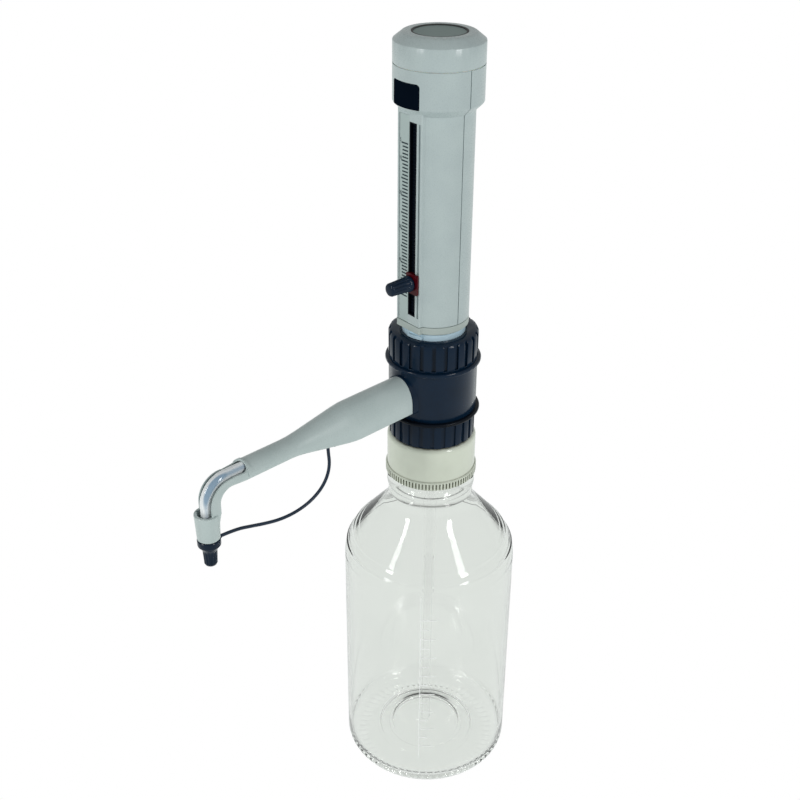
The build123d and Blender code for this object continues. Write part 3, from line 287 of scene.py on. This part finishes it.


# %% [markdown]
# ### Spout tube
# The spout is a thick-walled tube. Its wall gathers light along both edges, which look
# white, and its bore shows as a blue-grey stripe down the middle, whichever way it turns.
# It could be clear glass round a bore. Here both are painted: a colour that depends on how
# squarely the surface faces the eye paints the white edge light and the blue-grey bore at any
# turn, but nothing is seen through it.

# %% Spout tube
spout_fep, spout_tree, spout_out = new_finish("spout_fluoropolymer")
edge_on = add_node(spout_tree, "ShaderNodeLayerWeight", Blend=0.5)
# Painted light: white edges and a blue-grey middle, set by the facing angle instead of refraction.
painted_edge_and_bore = add_node(spout_tree, "ShaderNodeValToRGB", {"Fac": edge_on.outputs["Facing"]})
painted_edge_and_bore.color_ramp.elements[0].position = 0.1
painted_edge_and_bore.color_ramp.elements[0].color = linear("#8aa3b8")
painted_edge_and_bore.color_ramp.elements[1].position = 0.24
painted_edge_and_bore.color_ramp.elements[1].color = linear("#f2f6f8")
spout_shader = add_node(spout_tree, "ShaderNodeBsdfPrincipled",
                        {"Base Color": painted_edge_and_bore.outputs["Color"]},
                        Roughness=0.12, IOR=1.34, Coat_Weight=0.6, Coat_Roughness=0.03)
spout_tree.links.new(spout_shader.outputs["BSDF"], spout_out.inputs["Surface"])
print("spout", spout_fep.name)

# %% [markdown]
# ### Grey parts
# Housing, arm, scale plate, base ring and disc are injection moulded ABS in one family of
# greys. Each came out of its own mould, so each differs a little in shade and in gloss.

# %% Grey plastics
# Satin ABS: mostly matt colour, with one soft wide highlight down the housing.
satin_abs = moulded_plastic("satin_abs", "#afbcbc", "#a9b6b7", 0.28, 0.5, 0.01)
# The same plastic, a shade paler, so the arm stands off from the block.
arm_abs = moulded_plastic("arm_satin_abs", "#b8c5c4", "#b2c0bf", 0.28, 0.5, 0.01)
# Duller where it is printed on, so that no glare hides the scale.
scale_abs = moulded_plastic("scale_satin_abs", "#a9b8b6", "#a3b3b1", 0.42, 0.5, 0.01)
# The base ring is a little yellower and duller than the housing above it.
ring_abs = moulded_plastic("base_ring_abs", "#a9b4b0", "#a2aeaa", 0.4, 0.5, 0.01)
# The disc on top is the darkest grey and almost without shine.
disc_abs = moulded_plastic("disc_abs", "#7b8c89", "#748582", 0.5, 0.5, 0.01, specular=0.3)
print("grey:", satin_abs.name, arm_abs.name, scale_abs.name, ring_abs.name, disc_abs.name)

# %% [markdown]
# ### Dark parts
# Nuts, collar, knob and nozzle cap are navy polypropylene, which resists what is dispensed.
# The swivel ring and the slot are black acetal, which slides well. Dark plastic has little
# colour of its own to show, so its reflections are held down, or it would look grey.

# %% Dark plastics
# Glossy polypropylene: nearly black navy, with narrow bright lines along each rib.
navy_pp = moulded_plastic("navy_polypropylene", "#0a1f33", "#081b2d", 0.16, 0.6, 0.003,
                          specular=0.16)
# Acetal: a dense black with a waxy, faint sheen.
black_pom = moulded_plastic("black_acetal", "#070d17", "#060b13", 0.3, 0.6, 0.006, specular=0.1)
# Elastomer: navy like the caps, but soft and dull.
tether_rubber = moulded_plastic("tether_elastomer", "#10263b", "#0d2135", 0.4, 0.4, 0.006,
                                specular=0.3)
# Black elastomer: flat, and it swallows highlights. It also colours the painted shadow ring round
# the disc.
gasket_rubber = moulded_plastic("gasket_rubber", "#20201f", "#1a1a19", 0.6, 0.4, 0.01)
# Smoked acrylic in front of a dark space: an even near-black with no reflection.
smoked_window = moulded_plastic("smoked_window", "#08111c", "#070f19", 0.2, 0.6, 0.001,
                                specular=0.0)
# Printing ink: a thin dark film, neither matt nor shiny.
scale_ink = moulded_plastic("scale_ink", "#1f3138", "#1a2b32", 0.5, 0.3, 0.004, specular=0.2)
# Coloured resin: a deep red that marks where to read.
pointer_resin = moulded_plastic("pointer_resin", "#4c0a13", "#430810", 0.25, 0.5, 0.006,
                               specular=0.15)
print("dark:", navy_pp.name, black_pom.name, tether_rubber.name, gasket_rubber.name)
print("dark and thin:", smoked_window.name, scale_ink.name, pointer_resin.name)

# %% [markdown]
# ### Pale and inner parts
# The adapter is cream polypropylene, with shade painted into the gaps between the ribs of its
# knurl. The wetted parts inside are bare fluoropolymer and ceramic.

# %% Pale plastics and ceramic
# Cream polypropylene: smooth and a little greenish, with painted shade as dark lines between the
# ribs.
cream_pp = moulded_plastic("cream_polypropylene", "#d6dccd", "#cfd5c6", 0.14, 0.7, 0.004,
                           crevice="#6f6b58")
# Undyed polypropylene: milky, as light goes a little way in.
natural_pp = moulded_plastic("natural_polypropylene", "#e4e4dc", "#dcdcd2", 0.4, 0.7, 0.01,
                             subsurface=0.2)
# Turned PTFE: white, waxy and dull. The piston's lip seals wear it too.
white_ptfe = moulded_plastic("turned_ptfe", "#ecece8", "#e4e4df", 0.45, 0.4, 0.01, subsurface=0.2)
# Ground ceramic: an ivory white with a hard, clear highlight.
valve_ceramic = moulded_plastic("ground_ceramic", "#efede4", "#e8e5da", 0.2, 0.3, 0.004)
# Coated sleeve: a pale blue under a clear film that catches the light.
blue_film = moulded_plastic("blue_sleeve_film", "#c3dce9", "#bad5e3", 0.25, 0.9, 0.01, coat=0.3)
print("pale:", cream_pp.name, natural_pp.name, white_ptfe.name, valve_ceramic.name)
print("pale blue:", blue_film.name)

# %% [markdown]
# ### Glass, tube and steel
# Glass bends light by its index. The bottle's is set under the real 1.47, because its dark
# edges would otherwise outweigh its clear sides, and the dip tube's is close to air's, so
# that it is no more than a faint line.

# %% Glass, dip tube and steel
# Borosilicate glass: clear, a trace green, seen by its edges and highlights.
bottle_glass = clear_wall("borosilicate_glass", "#f8f9f7", 1.4, 0.0, 22.0, 0.05)
# Precision-bored glass: the same, with no ripple.
barrel_glass = clear_wall("precision_glass", "#f4f8f8", 1.47, 0.0, 30.0, 0.0)
# Drawn fluoropolymer: a ghost of a tube inside the bottle.
dip_fep = clear_wall("dip_fluoropolymer", "#ffffff", 1.035, 0.0, 6.0, 0.0)
# Stainless steel: a cool light grey with stretched highlights.
stainless = metal("turned_stainless", "#c3c6c8", 0.28, 0.25)
print("clear:", bottle_glass.name, barrel_glass.name, dip_fep.name, "and", stainless.name)

# %% [markdown]
# ### Who wears what
# Each node of the frame names the material slot that it was built with, and a table gives
# the finish of each slot. The dip tubes share a slot with the spout but are clear.

# %% Dress the frame
FINISH_OF_SLOT = {
    "bottle_glass": bottle_glass,
    "adapter_plastic": cream_pp,
    "seal_ptfe": white_ptfe,
    "navy_plastic": navy_pp,
    "black_plastic": black_pom,
    "natural_plastic": natural_pp,
    "valve_ceramic": valve_ceramic,
    "clear_tube": spout_fep,
    "arm_grey": arm_abs,
    "tether_rubber": tether_rubber,
    "gasket_rubber": gasket_rubber,
    "barrel_glass": barrel_glass,
    "blue_sleeve": blue_film,
    "housing_grey": satin_abs,
    "scale_plastic": scale_abs,
    "ring_grey": ring_abs,
    "window_black": smoked_window,
    "disc_grey": disc_abs,
    "fastener_steel": stainless,
    "seal_ring": white_ptfe,
    "pointer_red": pointer_resin,
}
SLOT_OF_NODE = {part["node"]: part["material_slot"] for part in frame["record"]["subparts"]}


def dress(piece, finish):
    """Give a piece one finish in its only material slot."""
    piece.data.materials.clear()
    piece.data.materials.append(finish)


for node_name, slot_name in SLOT_OF_NODE.items():
    for slot in frame["nodes"][node_name].material_slots:
        slot.material = FINISH_OF_SLOT[slot_name]
for node_name in ("filling_tube", "telescopic_tube"):
    for slot in frame["nodes"][node_name].material_slots:
        slot.material = dip_fep
dress(tether, tether_rubber)
print("dressed", len(SLOT_OF_NODE), "nodes in", len(FINISH_OF_SLOT), "slots' finishes")

# %% [markdown]
# ## Round pieces
# Whatever is round is drawn as half of its outline and spun about its axis, as on a lathe.
# Doubles on the seam and on the axis are merged before the normals are made to agree, and a
# piece that is spun through less than a full turn has its two ends filled.

# %% Lathe
def spin_outline(name, outline, steps, angle=360.0, start=0.0, smooth_angle=35):
    """Turn a closed (radius, z) outline in mm about Z, from a start angle off +X."""
    select_only()
    mesh = bpy.data.meshes.new(name)
    lead = math.radians(start)
    points = [(r * MM * math.cos(lead), r * MM * math.sin(lead), z * MM) for r, z in outline]
    runs = [(i, (i + 1) % len(points)) for i in range(len(points))]
    # An edge that lies on the axis would spin into nothing, so it is left out.
    edges = [run for run in runs if outline[run[0]][0] > 0 or outline[run[1]][0] > 0]
    mesh.from_pydata(points, edges, [])
    piece = bpy.data.objects.new(name, mesh)
    bpy.context.collection.objects.link(piece)
    select_only(piece)
    bpy.ops.object.mode_set(mode="EDIT")
    bpy.ops.mesh.select_all(action="SELECT")
    # Seen from above, the operator turns clockwise, so the angle is negated.
    bpy.ops.mesh.spin(steps=steps, angle=-math.radians(angle), center=(0, 0, 0),
                      axis=(0, 0, 1))
    bpy.ops.mesh.select_all(action="SELECT")
    bpy.ops.mesh.remove_doubles(threshold=1e-6)
    if angle < 360:
        bpy.ops.mesh.select_all(action="DESELECT")
        bpy.ops.mesh.select_non_manifold()
        bpy.ops.mesh.fill()
        bpy.ops.mesh.select_all(action="SELECT")
    bpy.ops.mesh.normals_make_consistent(inside=False)
    bpy.ops.object.mode_set(mode="OBJECT")
    return settle(piece, name, smooth_angle)


# %% [markdown]
# ## Bottle
# A blown bottle is one skin of glass, so outside and inside are one closed outline. Corners
# between straight runs are tangent arcs. The mould leaves two raised rings at the foot of
# the shoulder, rings and a nib in the base, and small ribs on the bearing edge that keep the
# hot glass off the table. The nib stays under the end of the dip tube.

# %% Bottle sizes
BODY_RADIUS = 50.5
WALL = 1.8
HEEL = 8.3
SHOULDER_Z = 155.2
NECK_Z = 185.7
NECK_RADIUS = 24.4
BEAD_RADIUS = 25.2
LIP_Z = 226.0
BORE = 17.2
RING_HEIGHT = 0.55
RING_WIDTH = 1.4
RINGS_Z = (154.6, 161.6)
FLOOR_Z = 5.4
THREAD_ROOT = 20.7
THREAD_CREST = 22.2
THREADS_Z = (208.6, 212.6, 216.6)
print("bottle", 2 * BODY_RADIUS, "mm across,", LIP_Z, "mm tall, wall", WALL, "mm")


# %% Rounded outlines
def arc(centre, radius, start, end, steps):
    """Points along an arc in the (radius, z) plane, with angles in degrees from +radius."""
    points = []
    for step in range(steps + 1):
        angle = math.radians(start + (end - start) * step / steps)
        points.append((centre[0] + radius * math.cos(angle), centre[1] + radius * math.sin(angle)))
    return points


def rounded_corner(before, corner, after, radius, steps):
    """Points of the tangent arc that rounds a corner between two straight runs."""
    before, corner, after = Vector(before), Vector(corner), Vector(after)
    into, out = (before - corner).normalized(), (after - corner).normalized()
    half = into.angle(out) / 2
    centre = corner + (into + out).normalized() * (radius / math.sin(half))
    first = corner + into * (radius / math.tan(half)) - centre
    last = corner + out * (radius / math.tan(half)) - centre
    sweep = first.angle_signed(last)
    points = []
    for step in range(steps + 1):
        angle = -sweep * step / steps
        spun = Matrix.Rotation(angle, 2) @ first
        points.append(tuple(centre + spun))
    return points


def body_side(inset):
    """Body, shoulder and neck outline, outside (inset 0) or inside the wall."""
    tilt = 0.37 * inset
    foot = (BODY_RADIUS - inset, 60.0)
    shoulder = (BODY_RADIUS - inset, SHOULDER_Z - tilt)
    neck = (NECK_RADIUS - inset, NECK_Z - tilt)
    top = (NECK_RADIUS - inset, 230.0)
    return (rounded_corner(foot, shoulder, neck, 25.0 - inset, 40)
            + rounded_corner(shoulder, neck, top, 16.0 + inset, 14))


def with_rings(points):
    """Raise the outside outline into the two moulded rings at the shoulder's foot."""
    raised = []
    for radius, z in points:
        lift = sum(math.exp(-((z - ring_z) / (RING_WIDTH / 2)) ** 2) for ring_z in RINGS_Z)
        raised.append((radius + RING_HEIGHT * lift, z))
    return raised


# %% [markdown]
# The outline runs up the outside from the bearing edge to the lip, down the inside to the
# nib, and back under the base to where it began.

# %% Bottle outline
SIDE_Z = (20, 60, 100, 130)
outside = arc((BODY_RADIUS - HEEL, HEEL), HEEL, -90, 0, 12)
outside += [(BODY_RADIUS, z) for z in SIDE_Z]
outside += with_rings(body_side(0))
outside += [(NECK_RADIUS, 195.9), (24.5, 196.4), (25.0, 197.1), (BEAD_RADIUS, 198.2),
            (BEAD_RADIUS, 199.8), (24.7, 200.9), (23.2, 201.5), (THREAD_ROOT, 201.7)]
for crest in THREADS_Z:
    outside += [(THREAD_ROOT, crest - 1.7), (THREAD_CREST, crest - 0.6),
                (THREAD_CREST, crest + 0.6), (THREAD_ROOT, crest + 1.7)]
outside += [(THREAD_ROOT, LIP_Z - 1.2), (19.9, LIP_Z - 0.2), (19.0, LIP_Z),
            (BORE + 0.8, LIP_Z), (BORE, LIP_Z - 0.8)]
inside = [(BORE, 201.6), (BORE + 0.8, 200.0), (20.6, 194.6)]
inside += list(reversed(body_side(WALL)))
inside += [(BODY_RADIUS - WALL, z) for z in reversed(SIDE_Z)]
inside += arc((BODY_RADIUS - HEEL, FLOOR_Z + HEEL - WALL), HEEL - WALL, 0, -90, 10)
inside += [(38.0, FLOOR_Z), (32.2, 5.6)] + arc((30.2, 5.6), 1.1, 0, 180, 8)
inside += [(28.2, 5.9), (25.0, 6.1)] + arc((22.5, 6.1), 1.3, 0, 180, 8)
inside += [(20.2, 6.4), (14.0, 7.0), (8.0, 7.3), (6.4, 7.3), (5.4, 7.9), (3.0, 8.1), (0.0, 8.2)]
underside = [(0.0, 3.4), (16.0, 3.1), (17.4, 2.6), (24.0, 2.4), (24.8, 1.9), (30.5, 1.7),
             (31.2, 1.3), (36.0, 1.0), (37.6, 0.3), (39.0, 0.0)]
print("outline", len(outside) + len(inside) + len(underside), "points")

# %% [markdown]
# The ribs of the bearing edge are sixty small lifts in the spun mesh: two columns of its
# vertices up, two down. No operator selects that pattern, so the vertices are lifted in code.

# %% Spin the bottle
SPIN_STEPS = 240
RIB_LIFT = 0.5
bottle = spin_outline("moulded_bottle", outside + inside + underside, SPIN_STEPS,
                      smooth_angle=50)
for vertex in bottle.data.vertices:
    radius = math.hypot(vertex.co.x, vertex.co.y) / MM
    on_bearing_edge = 38.5 < radius < 44.0 and vertex.co.z < 0.5 * MM
    step = round(math.atan2(vertex.co.y, vertex.co.x) / (2 * math.pi) * SPIN_STEPS)
    if on_bearing_edge and step % 4 < 2:
        vertex.co.z += RIB_LIFT * MM
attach(bottle, "bottle")
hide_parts("glass_bottle")
dress(bottle, bottle_glass)
print("bottle", len(bottle.data.polygons), "faces")

# %% [markdown]
# ## Graduations
# A line down the glass carries a mark for every fifty millilitres. They are fired on as a
# frosted enamel, a tenth of a millimetre thick, so each is a thin band spun about the
# bottle's axis over the few degrees that it covers.

# %% Graduation lines
MARK_AZIMUTH = 39.5
MARK_STEP = 7.05
MARK_FIRST_Z = 33.6
MARK_LENGTH = 9.0
LINE_WIDTH = 0.35
LINE_Z = (24.0, 150.0)
MARK_COUNT = 15
MARK_HEIGHT = 0.45
SHORT_MARK = 0.55
GLASS_GAP = 0.02
ENAMEL_THICKNESS = 0.1
# Fired enamel: a matt white that scatters the light where the glass lets it through.
enamel = moulded_plastic("frosted_enamel", "#ffffff", "#f8fbfa", 0.5, 0.3, 0.004)


def glass_band(name, low, high, width_mm, offset_mm):
    """A thin band on the glass from z low to high, starting at an offset along the surface."""
    skin = BODY_RADIUS + GLASS_GAP
    top = skin + ENAMEL_THICKNESS
    outline = [(skin, low), (skin, high), (top, high), (top, low)]
    degrees = math.degrees(width_mm / BODY_RADIUS)
    start = MARK_AZIMUTH - 90 + math.degrees(offset_mm / BODY_RADIUS)
    return spin_outline(name, outline, 6, angle=degrees, start=start)


bands = [glass_band("graduation_line", *LINE_Z, LINE_WIDTH, 0.0)]
for mark in range(MARK_COUNT):
    z = MARK_FIRST_Z + mark * MARK_STEP
    length = SHORT_MARK * MARK_LENGTH if mark % 2 else MARK_LENGTH
    bands.append(glass_band(f"graduation_{mark}", z, z + MARK_HEIGHT, length, LINE_WIDTH))
select_only(*bands)
bpy.ops.object.join()
graduations = settle(bpy.context.object, "graduations")
dress(graduations, enamel)
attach(graduations, "bottle")
print("graduations", MARK_COUNT, "marks,", len(graduations.data.polygons), "faces")

# %% [markdown]
# ## Scale
# The pointer is read against a scale of plain ink lines, one for each millilitre from 5 to
# 50, on a plate let into the housing's flat. The housing sits a few degrees round from the
# arm, so the marks are made square on and turned with it.

# %% Scale lines
HOUSING_TURN = math.radians(-3.6)
PLATE_REACH = 18.8
ZERO_Z = 409.5
PER_MILLILITRE = 1.82
INK = 0.06
TICK_RIGHT = -0.75
LONG_TICK = 5.0
SHORT_TICK = 4.2
TICK_HEIGHT = 0.75


def on_plate(x, z, thickness):
    """Place on the scale plate's face, before the housing's turn, in metres."""
    return Vector((x * MM, -(PLATE_REACH + thickness / 2) * MM, z * MM))


ticks = []
for volume in range(5, 51):
    width = LONG_TICK if volume % 5 == 0 else SHORT_TICK
    select_only()
    place = on_plate(TICK_RIGHT - width / 2, ZERO_Z - PER_MILLILITRE * volume, INK)
    bpy.ops.mesh.primitive_cube_add(size=1, location=place,
                                    scale=(width * MM, INK * MM, TICK_HEIGHT * MM))
    ticks.append(bpy.context.object)
print("scale lines", len(ticks))

# %% [markdown]
# The numbers are text, stood upright, narrowed, given the ink's thickness and made a mesh.
# Lines and numbers are then turned with the housing and joined into one printed piece.

# %% Scale numbers
NUMBER_HEIGHT = 2.8
NUMBER_NARROWING = 0.62
NUMBER_X = -6.35
NUMBER_LIFT = 1.1
for volume in (5, 10, 20, 30, 40, 50):
    words = bpy.data.curves.new(f"number_{volume}", "FONT")
    words.body = str(volume)
    words.size = NUMBER_HEIGHT * MM
    words.align_x = "CENTER"
    words.align_y = "CENTER"
    words.extrude = INK / 2 * MM
    number = bpy.data.objects.new(f"number_{volume}", words)
    bpy.context.collection.objects.link(number)
    number.rotation_euler = (math.pi / 2, 0, 0)
    number.scale = (NUMBER_NARROWING, 1, 1)
    number.location = on_plate(NUMBER_X, ZERO_Z - PER_MILLILITRE * volume + NUMBER_LIFT, INK)
    select_only(number)
    bpy.ops.object.convert(target="MESH")
    ticks.append(bpy.context.object)
for mark in ticks:
    select_only(mark)
    bpy.ops.object.transform_apply(location=True, rotation=True, scale=True)
    mark.data.transform(Matrix.Rotation(HOUSING_TURN, 4, "Z"))
select_only(*ticks)
bpy.ops.object.join()
scale_marks = settle(bpy.context.object, "scale_marks")
dress(scale_marks, scale_ink)
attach(scale_marks, "housing")
print("scale", len(scale_marks.data.polygons), "faces")

# %% [markdown]
# ## Softened edges
# No moulded edge is sharp: a tool's corner has a radius of a few tenths of a millimetre,
# and it is that radius which catches the light. These pieces are copied from the frame,
# their loose triangles are merged back into flat faces, and a bevel rounds each edge.

# %% Rounded copies
EDGE_SEGMENTS = 2
EDGE_ANGLE = 32


def rounded_copy(node_name, name, body, width):
    """Stand a copy of a node with softly rounded edges in for the node."""
    node = frame["nodes"][node_name]
    mesh = node.data.copy()
    piece = bpy.data.objects.new(name, mesh)
    bpy.context.collection.objects.link(piece)
    select_only(piece)
    bpy.ops.object.mode_set(mode="EDIT")
    bpy.ops.mesh.select_all(action="SELECT")
    bpy.ops.mesh.remove_doubles(threshold=2e-6)
    bpy.ops.mesh.dissolve_limited(angle_limit=math.radians(0.5))
    bpy.ops.object.mode_set(mode="OBJECT")
    bevel = piece.modifiers.new("edge_radius", "BEVEL")
    bevel.width = width * MM
    bevel.segments = EDGE_SEGMENTS
    bevel.limit_method = "ANGLE"
    bevel.angle_limit = math.radians(EDGE_ANGLE)
    bevel.use_clamp_overlap = True
    bpy.ops.object.modifier_apply(modifier=bevel.name)
    settle(piece, name, 40)
    dress(piece, FINISH_OF_SLOT[SLOT_OF_NODE[node_name]])
    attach(piece, body)
    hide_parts(node_name)
    return piece


for node_name, body, width in (
    ("upper_union_nut", "valve_block", 0.25),
    ("lower_union_nut", "adapter", 0.25),
    ("collar_shell", "valve_block", 0.3),
    ("head_cap", "housing", 0.5),
):
    piece = rounded_copy(node_name, f"moulded_{node_name}", body, width)
    print(piece.name, len(piece.data.polygons), "faces")

# %% [markdown]
# ## Knob and nozzle cap
# Both are gripped between finger and thumb, so both are fluted. A fluted piece is spun
# plain first, then its side is pressed in by a wave that runs round the axis and fades
# out at both ends. Cutting the flutes one by one would leave sharp lips, and the wave gives
# the soft ones that come out of a mould.

# %% Flutes
def press_flutes(piece, count, depth, low, high, core):
    """Press flutes into a spun piece between two heights, outside a core radius, all in mm."""
    for vertex in piece.data.vertices:
        radius = math.hypot(vertex.co.x, vertex.co.y)
        height = vertex.co.z / MM
        if low <= height <= high and radius > core * MM:
            fade = max(0, min(1, (height - low) / 0.8, (high - height) / 0.8))
            wave = (0.5 + 0.5 * math.cos(count * math.atan2(vertex.co.y, vertex.co.x))) ** 2
            shrink = 1 - depth * MM * fade * wave / radius
            vertex.co.x *= shrink
            vertex.co.y *= shrink


# %% [markdown]
# The knob tapers towards its domed end and has a blind bore for the clamp stud. It is spun
# about Z and then laid along the direction that the housing's flat faces.

# %% Pointer knob
KNOB_ROOT = Vector((2.83, -20.3, 327.6)) * MM
knob_outline = [(0.0, 10.0), (1.52, 10.0), (1.52, 0.0), (4.0, 0.0), (4.3, 0.3), (4.3, 1.6),
                (4.1, 2.0), (4.08, 2.8), (3.66, 12.0), (3.6, 12.8), (3.3, 13.4), (2.7, 13.8),
                (1.6, 13.98), (0.0, 14.0)]
knob = spin_outline("moulded_knob", knob_outline, 144)
press_flutes(knob, 12, 0.5, 2.0, 12.8, 3.0)
turned = Matrix.Rotation(HOUSING_TURN, 4, "Z")
knob_axis = turned @ Vector((0, -1, 0))
knob.data.transform(Matrix.Translation(turned @ KNOB_ROOT)
                    @ knob_axis.to_track_quat("Z", "X").to_matrix().to_4x4())
dress(knob, navy_pp)
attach(knob, "knob")
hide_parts("pointer_knob")
print("knob", len(knob.data.polygons), "faces")

# %% [markdown]
# The cap is a thimble with a wide rim, bored to fit over the nozzle's tip. A short round lug
# on its rim takes the end of the tether.

# %% Nozzle cap
NOZZLE_REACH = 155.3
LUG_REACH = 149.1
LUG_Z = 230.5
LUG_RADIUS = 1.15
LUG_LENGTH = 1.4
cap_outline = [(0.0, 217.0), (2.05, 217.0), (2.9, 217.4), (3.35, 218.3), (3.38, 219.1),
               (3.72, 225.0), (3.75, 225.8), (4.1, 226.8), (5.5, 228.8), (5.8, 229.1),
               (5.9, 229.5), (5.9, 232.3), (5.6, 232.7), (3.4, 232.7), (3.4, 229.0),
               (2.25, 229.0), (2.25, 221.2), (0.0, 221.2)]
cap = spin_outline("cap_body", cap_outline, 144)
press_flutes(cap, 12, 0.4, 218.3, 225.8, 2.9)
cap.data.transform(Matrix.Translation((0, -NOZZLE_REACH * MM, 0)))
select_only()
bpy.ops.mesh.primitive_cylinder_add(radius=LUG_RADIUS * MM, depth=LUG_LENGTH * MM, vertices=32,
                                    location=(0, -LUG_REACH * MM, LUG_Z * MM),
                                    rotation=(math.pi / 2, 0, 0))
lug = bpy.context.object
select_only(cap, lug)
bpy.ops.object.join()
cap = settle(bpy.context.object, "moulded_nozzle_cap")
dress(cap, navy_pp)
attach(cap, "outlet_cap")
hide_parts("nozzle_cap")
print("nozzle cap", len(cap.data.polygons), "faces")

# %% [markdown]
# ## Painted shadow round the disc
# The disc on top of the head sits in a gap that lies in shade, seen as a thin dark line. A black
# ring put in the gap paints that shadow. Its section is a small closed outline, so it is spun like
# the rest.

# %% Painted shadow round the disc
gap_shade_outline = [(13.0, 451.6), (13.0, 452.5), (13.4, 452.75), (13.95, 452.75), (13.95, 451.6)]
# Painted shadow: a thin black ring where the gap round the disc lies in shade.
disc_gap_shade = spin_outline("disc_gap_shade", gap_shade_outline, 96)
dress(disc_gap_shade, gasket_rubber)
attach(disc_gap_shade, "housing")
print("disc seal", len(disc_gap_shade.data.polygons), "faces")

# %% [markdown]
# ## Studio
# The instrument stands on a pale grey table that glows a little, so its sides are lit from
# below and its tops stay a tone darker. Seen directly the table is lifted to white, as in a
# catalogue, while glass and plastic go on reflecting the grey one. Two tall softboxes give
# the upright highlights on the bottle's shoulder and the housing.

# %% Light table
select_only()
bpy.ops.mesh.primitive_plane_add(size=12, location=(0, 0, 0))
floor = settle(bpy.context.object, "studio_floor")
paper, paper_tree, paper_out = new_finish("light_table")
paper_grey = add_node(paper_tree, "ShaderNodeBsdfPrincipled", Roughness=0.9,
                      Base_Color=linear("#6e6e6e"), Emission_Color=linear("#fbfffd"),
                      Emission_Strength=0.76)
paper_white = add_node(paper_tree, "ShaderNodeEmission", Color=linear("#ffffff"), Strength=1.0)
seen_by = add_node(paper_tree, "ShaderNodeLightPath")
paper_mix = add_node(paper_tree, "ShaderNodeMixShader", {"Fac": seen_by.outputs["Is Camera Ray"]})
paper_tree.links.new(paper_grey.outputs["BSDF"], paper_mix.inputs[1])
paper_tree.links.new(paper_white.outputs["Emission"], paper_mix.inputs[2])
paper_tree.links.new(paper_mix.outputs["Shader"], paper_out.inputs["Surface"])
dress(floor, paper)
print("light table", paper.name)

# %% [markdown]
# A softbox is an area light. Its size sets how wide a highlight it draws, and its place sets
# where. Both are held back for matt surfaces, which the surround already lights.

# %% Lights
def softbox(name, place, target, width, height, power):
    """A rectangular area light that faces a target."""
    data = bpy.data.lights.new(name, "AREA")
    data.shape = "RECTANGLE"
    data.size = width
    data.size_y = height
    data.energy = power
    data.diffuse_factor = 0.6
    lamp = bpy.data.objects.new(name, data)
    bpy.context.collection.objects.link(lamp)
    lamp.location = place
    lamp.rotation_euler = (Vector(target) - Vector(place)).to_track_quat("-Z", "Y").to_euler()
    return lamp


middle = (0, 0, 0.25)
left_lamp = softbox("left_softbox", (-0.22, -1.28, 0.9), middle, 0.24, 0.7, 7)
right_lamp = softbox("right_softbox", (1.3, 0.07, 0.9), middle, 0.24, 0.7, 8)
print("lights", left_lamp.data.energy, "and", right_lamp.data.energy, "W")

# %% [markdown]
# The surround is bright near the horizon and dims overhead for scattered light, like walls
# under a dark ceiling. Reflections and rays through glass find pale walls all round, as in
# a white tent, so the bottle's edges stay light instead of turning black.

# %% Surround
world = bpy.data.worlds.new("studio_surround")
bpy.context.scene.world = world
world.use_nodes = True
sky = world.node_tree
direction = add_node(sky, "ShaderNodeTexCoord")
height = add_node(sky, "ShaderNodeSeparateXYZ", {"Vector": direction.outputs["Generated"]})
walls = add_node(sky, "ShaderNodeValToRGB", {"Fac": height.outputs["Z"]})
walls.color_ramp.elements[0].color = (0.62, 0.64, 0.63, 1)
walls.color_ramp.elements[1].position = 0.55
walls.color_ramp.elements[1].color = (0.06, 0.065, 0.065, 1)
ray_kind = add_node(sky, "ShaderNodeLightPath")
seen = add_node(sky, "ShaderNodeMixRGB", {"Fac": ray_kind.outputs["Is Diffuse Ray"],
                                          "Color2": walls.outputs["Color"]},
                Color1=(0.64, 0.66, 0.65, 1))
sky.links.new(seen.outputs["Color"], sky.nodes["Background"].inputs["Color"])
bpy.context.scene.view_settings.view_transform = "Standard"
print("surround", world.name)
